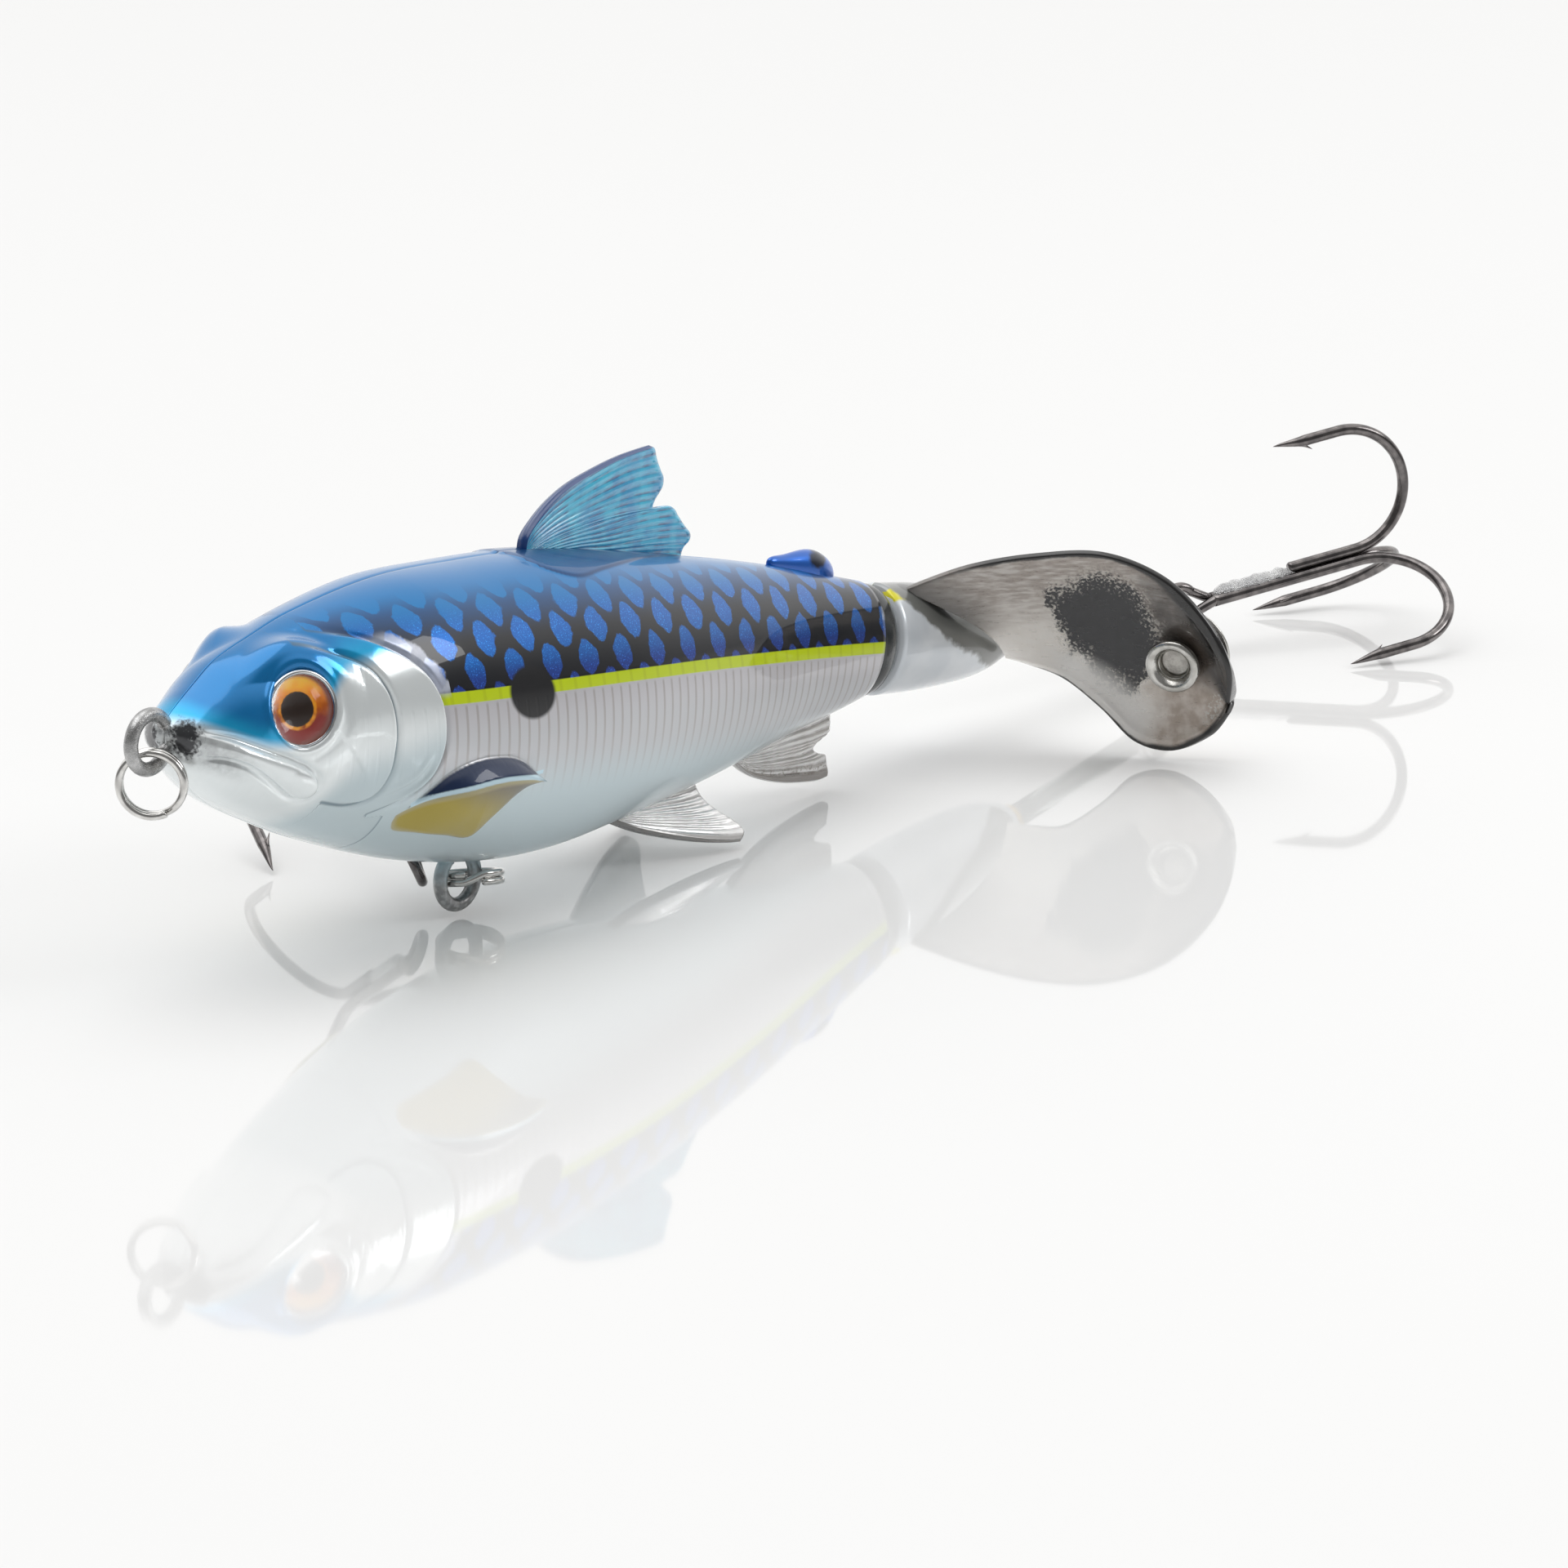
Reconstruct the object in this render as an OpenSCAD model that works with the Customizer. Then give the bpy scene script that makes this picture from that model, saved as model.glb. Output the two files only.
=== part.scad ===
// Topwater bait with a two-shell hard body and a spinning one-blade tail. Millimetres.
// The origin is the centre of the nose wire eye, +X runs towards the tail and +Z is up. The
// bait stands as it does on a table, on its belly hanger, its fins and its tail blade. The
// modules work in heights above the table, and on_table() sets the origin.

/* [Body] */
// Height of the nose eye's centre above the table
tie_height = 26; // [24:0.5:28]
// Wall thickness of the two moulded shells
body_wall = 1.6; // [1.2:0.1:2]
// Diameter of the eye's clear dome
eye_dia = 6.8; // [6:0.1:7]

/* [Fins] */
// Thickness of the clear fins
fin_thick = 1.2; // [0.8:0.1:1.6]

/* [Wire] */
// Wire diameter of the nose eye, the belly hanger and the tail shaft
wire_dia = 1.36; // [1.2:0.02:1.4]
// Mean radius of the wire eyes
wire_eye_r = 2.55; // [2.5:0.05:2.7]

/* [Split rings] */
// Mean radius of a split ring
ring_r = 3; // [2.9:0.05:3.1]
// Wire diameter of a split ring
ring_wire = 0.72; // [0.6:0.02:0.74]

/* [Treble hooks] */
// Wire diameter of a hook
hook_wire = 1.16; // [1:0.02:1.2]
// Distance from a hook's eye to the start of its bend
hook_shank = 20; // [17:0.5:21]
// Mean radius of a hook's bend
bend_r = 6.4; // [6:0.1:6.8]
// Length of the straight part from the bend to the tip
hook_point = 7.3; // [6:0.1:8]

/* [Tail] */
// Angle of the tail shaft below the horizontal
shaft_tilt = 9.5; // [8:0.5:10]
// Radial clearance between the shaft and the bushes that turn on it
running_gap = 0.05; // [0.03:0.01:0.08]
// Thickness of the blade
blade_thick = 1.2; // [0.8:0.1:1.4]

/* [Hidden] */
$fn = 48;

wire_r = wire_dia / 2;

// Body line: place along the body, height of the middle, half height, half width
BODY = [[2, 26.3, 1, 1.3], [3.2, 25.6, 2.65, 3.3], [6, 24.9, 5.1, 5], [9.3, 24.7, 7.1, 6.3],
    [14, 24.1, 8.9, 7.6], [20, 23.3, 10.9, 9], [32, 21.5, 13.6, 10.8], [43.7, 19.7, 14.6, 11.4],
    [53.4, 18.7, 14.5, 11.3], [63.3, 17.9, 13.35, 10.6], [79.7, 16.4, 10.8, 8.4],
    [92.6, 15.2, 8.35, 6.1], [101.2, 14.1, 6.7, 4.8], [104.5, 13.75, 6, 4.4]];
BODY_END = 104.5;
SHAFT_START = [BODY_END, 0, 13.75];
// How much narrower the head gets towards its crown than a plain oval
HEAD_TAPER = 0.28;

// The body's cross-sections lean with the shaft over the last stretch
LEAN_FROM = 76;

// Stations along the shaft, counted from the body's rear face
COLLAR_END = 2.5;
CONE_START = 3.3;
CONE_END = 25.6;
SLEEVE_END = 46.8;
SHAFT_EYE = 51.2;
BUSH_R = 2;

// Tail cone: place along the shaft, half height, half width
CONE = [[CONE_START, 5.6, 4.3], [9.6, 5.4, 4.1], [17.3, 4.7, 3.6], [21, 4, 3.1],
    [24, 2.9, 2.4], [CONE_END, 2.2, 2.1]];

// Blade edges from the root to the tip: along the body, across, height
BLADE_TOP = [[111.7, -1.2, 17.7], [115.2, -6.4, 20], [118.5, -12.6, 21.4],
    [122.2, -17.9, 21.5], [125, -23.2, 19.2], [126.6, -27.2, 15], [127.6, -29, 10.5],
    [128.6, -28.2, 6.6]];
BLADE_LOW = [[125.9, -3.4, 8.2], [125.7, -6.5, 7.9], [125.6, -10.6, 7.1],
    [126.6, -14.3, 4.4], [127.7, -17.6, 1.3], [128.8, -21.5, 0.7], [129.6, -25.2, 2.6],
    [129, -27.9, 5.4]];
// Direction in which the blade is cupped, and its rivet's axis
BLADE_BACK = [0.93, 0.31, 0.19];
CUP_DEPTH = 2;
ROOT_BULGE = 1.3;
RIVET_AT = [128.2, -22.3, 10.1];
RIVET_TILT = [0, 79, 18.4];
RIVET_R = 1.5;

EYE_AT = [13.9, -6.5, 27.1];
EYE_YAW = 22;
EYE_DEPTH = 2;

HANGER_AT = [43.7, 0, 3.3];
RATTLE_AT = [56, 0, 17.5];
RATTLE_BORE = 2.55;
RATTLE_LEN = 20;

// A hook's three wires lie round a common axis at this radius, just clear of each other
WIRE_NEST = hook_wire / sqrt(3) + 0.03;
HOOK_EYE_R = 1.85;
HOOK_EYE_WIRE = 1;

// Hook frames: eye centre, shank direction, direction of the single hook
TAIL_HOOK = [[162.77, 2.52, 4.9], [0.859, -0.487, 0.158], [-0.141, 0.073, 0.987]];
BELLY_HOOK = [[43.245, 4.93, 3.96], [0.452, 0.768, 0.453], [-0.356, 0.621, -0.698]];
// Split rings: centre and axis
TAIL_RING = [[158.11, 0.94, 5.06], [0, 0, 1]];
BELLY_RING = [[45.44, -0.02, 2.98], [0.145, 0.166, 0.975]];
NOSE_RING = [[0.2, 0, 22], [0.84, 0.54, 0]];

// ---- curves ----

// Slope of column c of a table at row i
function slope(tab, i, c) =
    let (a = max(i - 1, 0), b = min(i + 1, len(tab) - 1))
    (tab[b][c] - tab[a][c]) / (tab[b][0] - tab[a][0]);

// Smooth value of column c of a table at x
function smooth(tab, x, c) =
    let (i = max([for (k = [0 : len(tab) - 2]) if (k == 0 || x >= tab[k][0]) k]),
        w = tab[i + 1][0] - tab[i][0], t = (x - tab[i][0]) / w)
    tab[i][c] * (1 + 2 * t) * (1 - t) ^ 2 + tab[i + 1][c] * t * t * (3 - 2 * t)
        + w * (slope(tab, i, c) * t * (1 - t) ^ 2 + slope(tab, i + 1, c) * t * t * (t - 1));

// Smooth curve through a list of points, u from 0 to 1
function along(pts, u) =
    let (n = len(pts) - 1, i = min(floor(u * n), n - 1), t = u * n - i,
        a = pts[max(i - 1, 0)], b = pts[i], c = pts[i + 1], d = pts[min(i + 2, n)])
    b + 0.5 * t * (c - a + t * (2 * a - 5 * b + 4 * c - d + t * (3 * (b - c) + d - a)));

function unit(v) = v / norm(v);

// One point of the left side of the body, phi from 90 at the back to -90 at the belly
function side_point(x, phi, inset) =
    let (b = smooth(BODY, x, 2) - inset, w = smooth(BODY, x, 3) - inset,
        lean = shaft_tilt * max(0, x - LEAN_FROM) / (BODY_END - LEAN_FROM),
        crown = phi > 0 ? HEAD_TAPER * min(1, max(0, (34 - x) / 28)) : 0)
    [x + b * sin(phi) * sin(lean), -w * cos(phi) ^ (0.92 + crown),
        smooth(BODY, x, 1) + b * sin(phi) * cos(lean)];

// ---- frames ----

module on_table() { translate([0, 0, -tie_height]) children(); }

// Local +Z runs along the tail shaft, from the body's rear face
module on_shaft() { on_table() translate(SHAFT_START) rotate([0, 90 + shaft_tilt, 0]) children(); }

module on_rivet() { on_table() translate(RIVET_AT) rotate(RIVET_TILT) children(); }

// Local +Z runs out of the left eye
module at_eye() {
    on_table() translate(EYE_AT) rotate([0, 0, -EYE_YAW]) rotate([79, 0, 0]) children();
}

// Local +Z along the unit axis of a ring or wire eye
module face_along(axis) {
    rotate([0, acos(unit(axis).z), atan2(axis.y, axis.x)]) children();
}

// Local +X along a hook's shank and local +Z towards its single hook
module on_hook(frame) {
    a = unit(frame[1]);
    w = unit(frame[2] - (frame[2] * a) * a);
    v = cross(w, a);
    on_table() multmatrix([[a.x, v.x, w.x, frame[0].x], [a.y, v.y, w.y, frame[0].y],
        [a.z, v.z, w.z, frame[0].z], [0, 0, 0, 1]]) children();
}

// ---- shared shapes ----

module torus(mean_r, wire_radius, angle = 360) {
    rotate_extrude(angle = angle) translate([mean_r, 0]) circle(wire_radius);
}

// Left half of the body between two stations, closed by the centre plane
module half_body(from, to, stations, points, inset) {
    xs = [for (i = [0 : stations]) from + (to - from) * (i / stations) ^ 1.4];
    grid = [for (x = xs, j = [0 : points]) side_point(x, 90 - 180 * j / points, inset)];
    n = points + 1;
    polyhedron(grid, concat(
        [for (i = [0 : stations - 1], j = [0 : points - 1])
            [i * n + j, (i + 1) * n + j, (i + 1) * n + j + 1, i * n + j + 1]],
        [for (i = [0 : stations - 1])
            [i * n, i * n + points, (i + 1) * n + points, (i + 1) * n]],
        [[for (j = [0 : points]) j]],
        [[for (j = [points : -1 : 0]) stations * n + j]]));
}

// A closed solid through rings of equal point counts
module loft(rings) {
    n = len(rings[0]);
    last = len(rings) - 1;
    polyhedron([for (r = rings) each r], concat(
        [for (i = [0 : last - 1], j = [0 : n - 1])
            [i * n + j, (i + 1) * n + j, (i + 1) * n + (j + 1) % n, i * n + (j + 1) % n]],
        [[for (j = [n - 1 : -1 : 0]) j]],
        [[for (j = [0 : n - 1]) last * n + j]]));
}

function oval(half_x, half_y, n) =
    [for (i = [0 : n - 1]) [half_x * cos(360 * i / n), half_y * sin(360 * i / n)]];

// A moulded pectoral fin, flat against the body's side
module pectoral() {
    hull() {
        for (p = [[26.5, -8.6, 15.6], [34, -9.9, 12.4], [41.2, -11.4, 16], [33, -10.4, 18]])
            translate(p) sphere(0.9, $fn = 16);
    }
}

// The low bump on the back in front of the tail
module back_bump() {
    hull() {
        for (p = [[93, 22.6, 0.8], [96.5, 22.7, 1.5], [99.5, 21.6, 1.6]])
            translate([p[0], 0, p[1]]) sphere(p[2], $fn = 24);
    }
}

// Room in the head and the keel for the wires, the fins' roots and the shaft
module wire_channels() {
    slot = wire_dia + 0.1;
    translate([1, -slot / 2, tie_height - 2.4]) cube([2.5, slot, 4.8]);
    translate([1, -slot / 2, tie_height - wire_dia - 0.1]) cube([13, slot, 2 * wire_dia + 0.2]);
    translate([14.5, slot / 2, tie_height]) rotate([90, 0, 0]) cylinder(r = 2.9, h = slot);
    translate([HANGER_AT.x - 3.4, -slot / 2, 2]) cube([6.8, slot, 4.7]);
    translate([HANGER_AT.x - wire_dia - 0.1, -slot / 2, 6]) cube([2 * wire_dia + 0.2, slot, 5]);
    translate([HANGER_AT.x, slot / 2, 12]) rotate([90, 0, 0]) cylinder(r = 2.9, h = slot);
}

module fin_slots() {
    slot = fin_thick + 0.1;
    translate([54.4, -slot / 2, 25]) cube([23.6, slot, 15]);
    translate([87, -slot / 2, 2]) cube([12.5, slot, 6.8]);
}

module shaft_room() {
    translate(SHAFT_START) rotate([0, 90 + shaft_tilt, 0]) {
        translate([0, 0, -14]) cylinder(r = wire_r + 0.03, h = 20);
        translate([-3.1, -3.1, -13]) cube([6.2, 6.2, 7.2]);
    }
}

module left_shell() {
    difference() {
        union() {
            half_body(BODY[0][0], BODY_END, 34, 14, 0);
            difference() {
                union() {
                    pectoral();
                    back_bump();
                }
                translate([0, 0, -1]) cube([120, 20, 60]);
                half_body(BODY[0][0], BODY_END, 34, 14, 0.4);
            }
        }
        difference() {
            translate([0, 0.01, 0]) half_body(20, 90, 18, 10, body_wall);
            translate([HANGER_AT.x - 4.5, -4, 4]) cube([9, 6, 12.5]);
        }
        wire_channels();
        fin_slots();
        shaft_room();
    }
}

module body_shell_left() {
    color("#2f7fd0") difference() {
        on_table() left_shell();
        at_eye() translate([0, 0, -EYE_DEPTH - 0.05]) cylinder(d = eye_dia + 0.1, h = 8);
    }
}

module body_shell_right() { mirror([0, 1, 0]) body_shell_left(); }

// ---- eyes ----

module eye_iris_left() {
    color("#e07a1c") at_eye() translate([0, 0, -EYE_DEPTH]) cylinder(d = eye_dia - 0.4, h = 0.8);
}

module eye_iris_right() { mirror([0, 1, 0]) eye_iris_left(); }

// A clear cap, flat where it sits on the iris
module eye_dome_left() {
    rise = 1.5;
    ball = (eye_dia ^ 2 / 4 + rise ^ 2) / (2 * rise);
    color("#d8e4e8", 0.5) at_eye() translate([0, 0, -EYE_DEPTH + 0.8]) {
        rotate_extrude() {
            square([eye_dia / 2, 1.2]);
            intersection() {
                translate([0, 1.2 + rise - ball]) circle(ball);
                translate([0, 1.2]) square([eye_dia, eye_dia]);
            }
        }
    }
}

module eye_dome_right() { mirror([0, 1, 0]) eye_dome_left(); }

// ---- fins ----

module upright_plate(outline) {
    on_table() translate([0, fin_thick / 2, 0]) rotate([90, 0, 0]) linear_extrude(fin_thick) polygon(outline);
}

module dorsal_fin() {
    front = [[54.5, 30.6], [54.5, 34.2], [57.7, 37], [61, 38.3], [66, 39.2], [73.4, 39.5]];
    notch = [[74.6, 38], [75.5, 35.6], [74, 33.7], [75.8, 33], [77.6, 31.8], [79.6, 29.3], [77.9, 27.8]];
    color("#2fb4dc", 0.8) upright_plate(concat(front, notch, [[77.9, 26.4]]));
}

module anal_fin() {
    low = [[87.1, 8.7], [87.1, 4.4], [90.3, 2.6], [95, 1.3], [100, 0.7]];
    rear = [[100.4, 3.1], [98.5, 4.1], [101, 5.4], [101.1, 6.6], [99.4, 7.6], [99.4, 8.7]];
    color("#d9dcdc", 0.6) upright_plate(concat(low, rear));
}

// A thin blade of a fin from the belly down to the table, leaning out
module pelvic_fin_left() {
    root_front = [63.6, -2.6, 4.9];
    root_rear = [75.6, -2.9, 5.8];
    tip = [77.7, -7.2, 0.35];
    out = unit(cross(root_rear - root_front, tip - root_front)) * fin_thick / 2;
    bulge = [74.6, -4.1, 3.1];
    lead = [70.6, -5.2, 2.1];
    outline = [root_front, lead, tip, [79.2, -5.2, 2.6], root_rear];
    color("#d9dcdc", 0.6) on_table() hull() {
        for (p = concat(outline, [bulge]), s = [-1, 1])
            translate(p + s * out * 0.8) sphere(0.12, $fn = 8);
    }
}

module pelvic_fin_right() { mirror([0, 1, 0]) pelvic_fin_left(); }

// ---- wires of the body ----

// A wire eye outside, a doubled stem and an anchoring eye inside, along local +X
module eyed_wire(stem) {
    rotate([90, 0, 0]) torus(wire_eye_r, wire_r);
    for (s = [-1, 1])
        translate([wire_eye_r - 0.1, 0, s * wire_r * 0.85]) rotate([0, 90, 0]) cylinder(r = wire_r, h = stem);
    translate([wire_eye_r + stem + 1.6, 0, 0]) rotate([90, 0, 0]) torus(2.1, wire_r);
}

module line_tie_wire() {
    color("#b9bcc0") eyed_wire(10.4);
}

module belly_hanger_wire() {
    color("#a9abad") on_table() translate(HANGER_AT) rotate([0, -90, 0]) eyed_wire(4.5);
}

// ---- inside the body ----

module ballast_weight() {
    color("#6f7276") on_table() translate([51, 0, 10.2]) rotate([0, 90, 0]) cylinder(r = 2.8, h = 16);
}

module rattle_tube() {
    color("#d6e0dc", 0.6) on_table() translate(RATTLE_AT) rotate([0, 90, 0]) difference() {
        cylinder(r = RATTLE_BORE + 0.6, h = RATTLE_LEN);
        translate([0, 0, 1]) cylinder(r = RATTLE_BORE, h = RATTLE_LEN);
    }
}

module rattle_plug() {
    color("#c4c8c4") on_table() translate(RATTLE_AT + [RATTLE_LEN - 1.5, 0, 0]) rotate([0, 90, 0])
        cylinder(r = RATTLE_BORE - 0.02, h = 1.5);
}

module rattle_balls() {
    color("#9a9da1") on_table() for (k = [0, 1])
        translate(RATTLE_AT + [3.6 + 5 * k, 0, 0]) sphere(2.4);
}

// ---- tail shaft and collar, fixed to the body ----

module shaft_anchor() {
    color("#c9a24a") on_shaft() difference() {
        translate([-3, -3, -12.9]) cube([6, 6, 7]);
        translate([0, 0, -14]) cylinder(r = wire_r + 0.01, h = 10);
    }
}

module tail_shaft() {
    color("#b9bcc0") {
        on_shaft() translate([0, 0, -12.8]) cylinder(r = wire_r, h = 12.8 + SHAFT_EYE - wire_eye_r);
        on_shaft() translate([0, 0, SHAFT_EYE]) rotate([90, 0, 0]) torus(wire_eye_r, wire_r);
    }
}

module rear_collar() {
    color("#3a3f42", 0.85) on_shaft() difference() {
        translate([0, 0, 0.02]) linear_extrude(COLLAR_END) polygon(oval(5.75, 4.3, 48));
        translate([0, 0, -1]) cylinder(r = wire_r + 0.02, h = 6);
    }
}

module washer(inner_r, outer_r, thick) {
    difference() {
        cylinder(r = outer_r, h = thick);
        translate([0, 0, -1]) cylinder(r = inner_r, h = thick + 2);
    }
}

module thrust_washer_front() {
    color("#c9a24a") on_shaft() translate([0, 0, COLLAR_END + 0.05]) washer(wire_r + 0.03, 2, 0.6);
}

module thrust_washer_rear() {
    color("#c9a24a") on_shaft() translate([0, 0, CONE_END + 0.1]) washer(wire_r + 0.03, 1.7, 0.6);
}

module spacer_sleeve() {
    color("#d6dcda", 0.5) on_shaft() translate([0, 0, CONE_END + 0.8])
        washer(wire_r + 0.03, 1.2, SLEEVE_END - CONE_END - 0.8);
}

// ---- spinning tail ----

module tail_cone() {
    color("#e9edf0") on_shaft() difference() {
        loft([for (i = [0 : 14]) let (s = CONE_START + (CONE_END - CONE_START) * (1 - (1 - i / 14) ^ 1.5))
            [for (p = oval(smooth(CONE, s, 1), smooth(CONE, s, 2), 40)) [p.x, p.y, s]]]);
        translate([0, 0, CONE_START - 1]) cylinder(r = wire_r + 0.4, h = 30);
        translate([0, 0, CONE_START - 1]) cylinder(r = BUSH_R, h = 5);
        translate([0, 0, CONE_END - 4]) cylinder(r = BUSH_R - 0.5, h = 5);
    }
}

module tail_bush_front() {
    color("#c9a24a") on_shaft() translate([0, 0, CONE_START])
        washer(wire_r + running_gap, BUSH_R - 0.01, 3.9);
}

module tail_bush_rear() {
    color("#c9a24a") on_shaft() translate([0, 0, CONE_END - 3.9])
        washer(wire_r + running_gap, BUSH_R - 0.51, 3.9);
}

// Middle surface of the blade: u from the root to the tip, v from the top edge to the low one
function blade_mid(u, v) =
    let (bow = 4 * v * (1 - v), cup = CUP_DEPTH * min(1, 2.2 * u) * bow,
        root = ROOT_BULGE * max(0, 1 - 4 * u) * bow)
    along(BLADE_TOP, u) * (1 - v) + along(BLADE_LOW, u) * v + cup * BLADE_BACK - [0, root, 0];

module tail_blade() {
    rows = 26;
    cols = 10;
    half = BLADE_BACK * blade_thick / 2;
    n = cols + 1;
    m = (rows + 1) * n;
    front = [for (i = [0 : rows], j = [0 : cols]) blade_mid(i / rows, j / cols) - half];
    back = [for (p = front) p + 2 * half];
    rim = concat([for (j = [0 : cols]) j], [for (i = [1 : rows]) i * n + cols],
        [for (j = [cols - 1 : -1 : 0]) rows * n + j], [for (i = [rows - 1 : -1 : 1]) i * n]);
    color("#4a4b4c", 0.9) difference() {
        on_table() polyhedron(concat(front, back), concat(
            [for (i = [0 : rows - 1], j = [0 : cols - 1])
                each [[i * n + j, i * n + j + 1, (i + 1) * n + j],
                    [i * n + j + 1, (i + 1) * n + j + 1, (i + 1) * n + j]]],
            [for (i = [0 : rows - 1], j = [0 : cols - 1])
                each [[m + i * n + j, m + (i + 1) * n + j, m + i * n + j + 1],
                    [m + i * n + j + 1, m + (i + 1) * n + j, m + (i + 1) * n + j + 1]]],
            [for (k = [0 : len(rim) - 1]) let (a = rim[k], b = rim[(k + 1) % len(rim)])
                each [[a, m + a, b], [b, m + a, m + b]]]));
        on_rivet() translate([0, 0, -6]) cylinder(r = RIVET_R + 0.05, h = 12);
    }
}

// A rolled flange in front of the blade and a hollow barrel through it
module blade_rivet() {
    color("#b9b6b0") on_rivet() rotate_extrude() {
        polygon([[1.15, -1.5], [2.6, -1.5], [2.6, -1], [RIVET_R, -1], [RIVET_R, 1.3],
            [0, 1.3], [0, 0.6], [1.15, 0.6]]);
    }
}

module rivet_disc() {
    color("#b9b6b0") on_rivet() rotate_extrude() {
        polygon([[0, 1.4], [RIVET_R, 1.4], [RIVET_R, 1.8], [4.9, 1.8], [4.9, 2.05],
            [4.2, 2.55], [2.8, 3.05], [1.2, 3.3], [0, 3.3]]);
    }
}

// ---- split rings ----

module split_ring(ring) {
    color("#cfd0d2") on_table() translate(ring[0]) face_along(ring[1])
        for (s = [-1, 1]) translate([0, 0, s * ring_wire * 0.52]) torus(ring_r, ring_wire / 2);
}

module nose_split_ring() { split_ring(NOSE_RING); }

module belly_split_ring() { split_ring(BELLY_RING); }

module tail_split_ring() { split_ring(TAIL_RING); }

// ---- treble hooks ----

// One hook's wire from its shank to its tip, in the plane of local +X and +Z
module hook_arm(start, axis_roll) {
    wire = hook_wire / 2;
    top = WIRE_NEST + 2 * bend_r;
    cone = 3.4;
    rotate([axis_roll, 0, 0]) {
        translate([start, 0, WIRE_NEST]) rotate([0, 90, 0]) cylinder(r = wire, h = hook_shank - start);
        translate([hook_shank, 0, WIRE_NEST + bend_r]) rotate([90, 0, 0]) rotate([0, 0, -90])
            torus(bend_r, wire, 180);
        translate([hook_shank, 0, top]) rotate([0, -90, 0]) cylinder(r = wire, h = hook_point - cone);
        translate([hook_shank - hook_point + cone, 0, top]) rotate([0, -90, 0])
            cylinder(r1 = wire, r2 = 0.04, h = cone);
        translate([hook_shank - hook_point + cone, 0, top - 0.3]) rotate([0, 125, 0])
            cylinder(r1 = 0.22, r2 = 0.03, h = 1.2);
    }
}

// Two hooks of one wire, whose middle is the hook's eye
module double_hook(frame, eye_roll) {
    color("#5c5a5a") on_hook(frame) {
        hook_arm(1.9, 120);
        hook_arm(1.9, -120);
        rotate([eye_roll, 0, 0]) rotate([90, 0, 0]) torus(HOOK_EYE_R, HOOK_EYE_WIRE / 2);
    }
}

module single_hook(frame) { color("#5c5a5a") on_hook(frame) hook_arm(14, 0); }

// Solder in the groove between the double hook's wires
module hook_braze(frame) {
    color("#d8d9da") on_hook(frame) translate([4, 0, 0.48]) rotate([0, 90, 0]) cylinder(r = 0.4, h = 9.9);
}

module belly_double_hook() { double_hook(BELLY_HOOK, -60); }

module belly_single_hook() { single_hook(BELLY_HOOK); }

module belly_hook_braze() { hook_braze(BELLY_HOOK); }

module tail_double_hook() { double_hook(TAIL_HOOK, 0); }

module tail_single_hook() { single_hook(TAIL_HOOK); }

module tail_hook_braze() { hook_braze(TAIL_HOOK); }

body_shell_left();
body_shell_right();
eye_iris_left();
eye_iris_right();
eye_dome_left();
eye_dome_right();
dorsal_fin();
pelvic_fin_left();
pelvic_fin_right();
anal_fin();
line_tie_wire();
belly_hanger_wire();
ballast_weight();
rattle_tube();
rattle_plug();
rattle_balls();
shaft_anchor();
tail_shaft();
rear_collar();
thrust_washer_front();
tail_cone();
tail_blade();
blade_rivet();
rivet_disc();
tail_bush_front();
tail_bush_rear();
thrust_washer_rear();
spacer_sleeve();
nose_split_ring();
belly_split_ring();
tail_split_ring();
belly_double_hook();
belly_single_hook();
belly_hook_braze();
tail_double_hook();
tail_single_hook();
tail_hook_braze();
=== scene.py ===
"""The looks of a topwater bait with a spinning tail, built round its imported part.

Shapes are worked out in millimetres with heights counted from the table that the bait lies on.
`placed` turns them into metres in the part's own frame, whose origin is the nose eye's centre.
"""

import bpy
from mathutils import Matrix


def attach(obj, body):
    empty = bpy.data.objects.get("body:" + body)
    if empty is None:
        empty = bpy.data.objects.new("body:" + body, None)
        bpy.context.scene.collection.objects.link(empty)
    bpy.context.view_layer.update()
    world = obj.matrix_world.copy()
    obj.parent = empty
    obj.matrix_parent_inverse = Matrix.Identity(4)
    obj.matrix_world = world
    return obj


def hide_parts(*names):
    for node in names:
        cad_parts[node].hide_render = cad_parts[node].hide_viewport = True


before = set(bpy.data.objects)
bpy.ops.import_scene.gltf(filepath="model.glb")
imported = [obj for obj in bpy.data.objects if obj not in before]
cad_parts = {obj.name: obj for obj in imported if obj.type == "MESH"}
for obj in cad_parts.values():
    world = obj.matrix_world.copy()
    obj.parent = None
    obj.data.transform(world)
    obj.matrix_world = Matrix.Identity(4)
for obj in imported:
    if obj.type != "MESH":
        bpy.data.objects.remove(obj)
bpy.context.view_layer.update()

import logging
import math
from dataclasses import dataclass, field
from enum import Enum
from typing import Sequence

import bpy
import numpy as np
from mathutils import Matrix, Vector

log = logging.getLogger("bait")

TABLE_DROP = 26.0
SHAFT_TILT = math.radians(9.5)
SHAFT_START = (104.5, 0.0, 13.75)
WIRE_R = 0.68
WIRE_EYE_R = 2.55
EYE_AT = (13.9, -6.5, 27.1)
EYE_OUT = (-0.3677, -0.9102, 0.1908)
Colour = tuple[float, float, float]
Socket = bpy.types.NodeSocket


class Side(Enum):
    """The two sides of the bait, with the sign of their across-axis."""

    LEFT = -1
    RIGHT = 1

    @property
    def word(self) -> str:
        """The side's name in piece names."""
        return self.name.lower()


# ---------------------------------------------------------------------------- geometry


def placed(points: np.ndarray) -> np.ndarray:
    """Turns table millimetres into metres in the part's frame.

    Args:
        points: Points whose last axis is x, y and height above the table.

    Returns:
        The same points in the part's frame.
    """
    return (np.asarray(points, float) - (0.0, 0.0, TABLE_DROP)) / 1000.0


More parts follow.
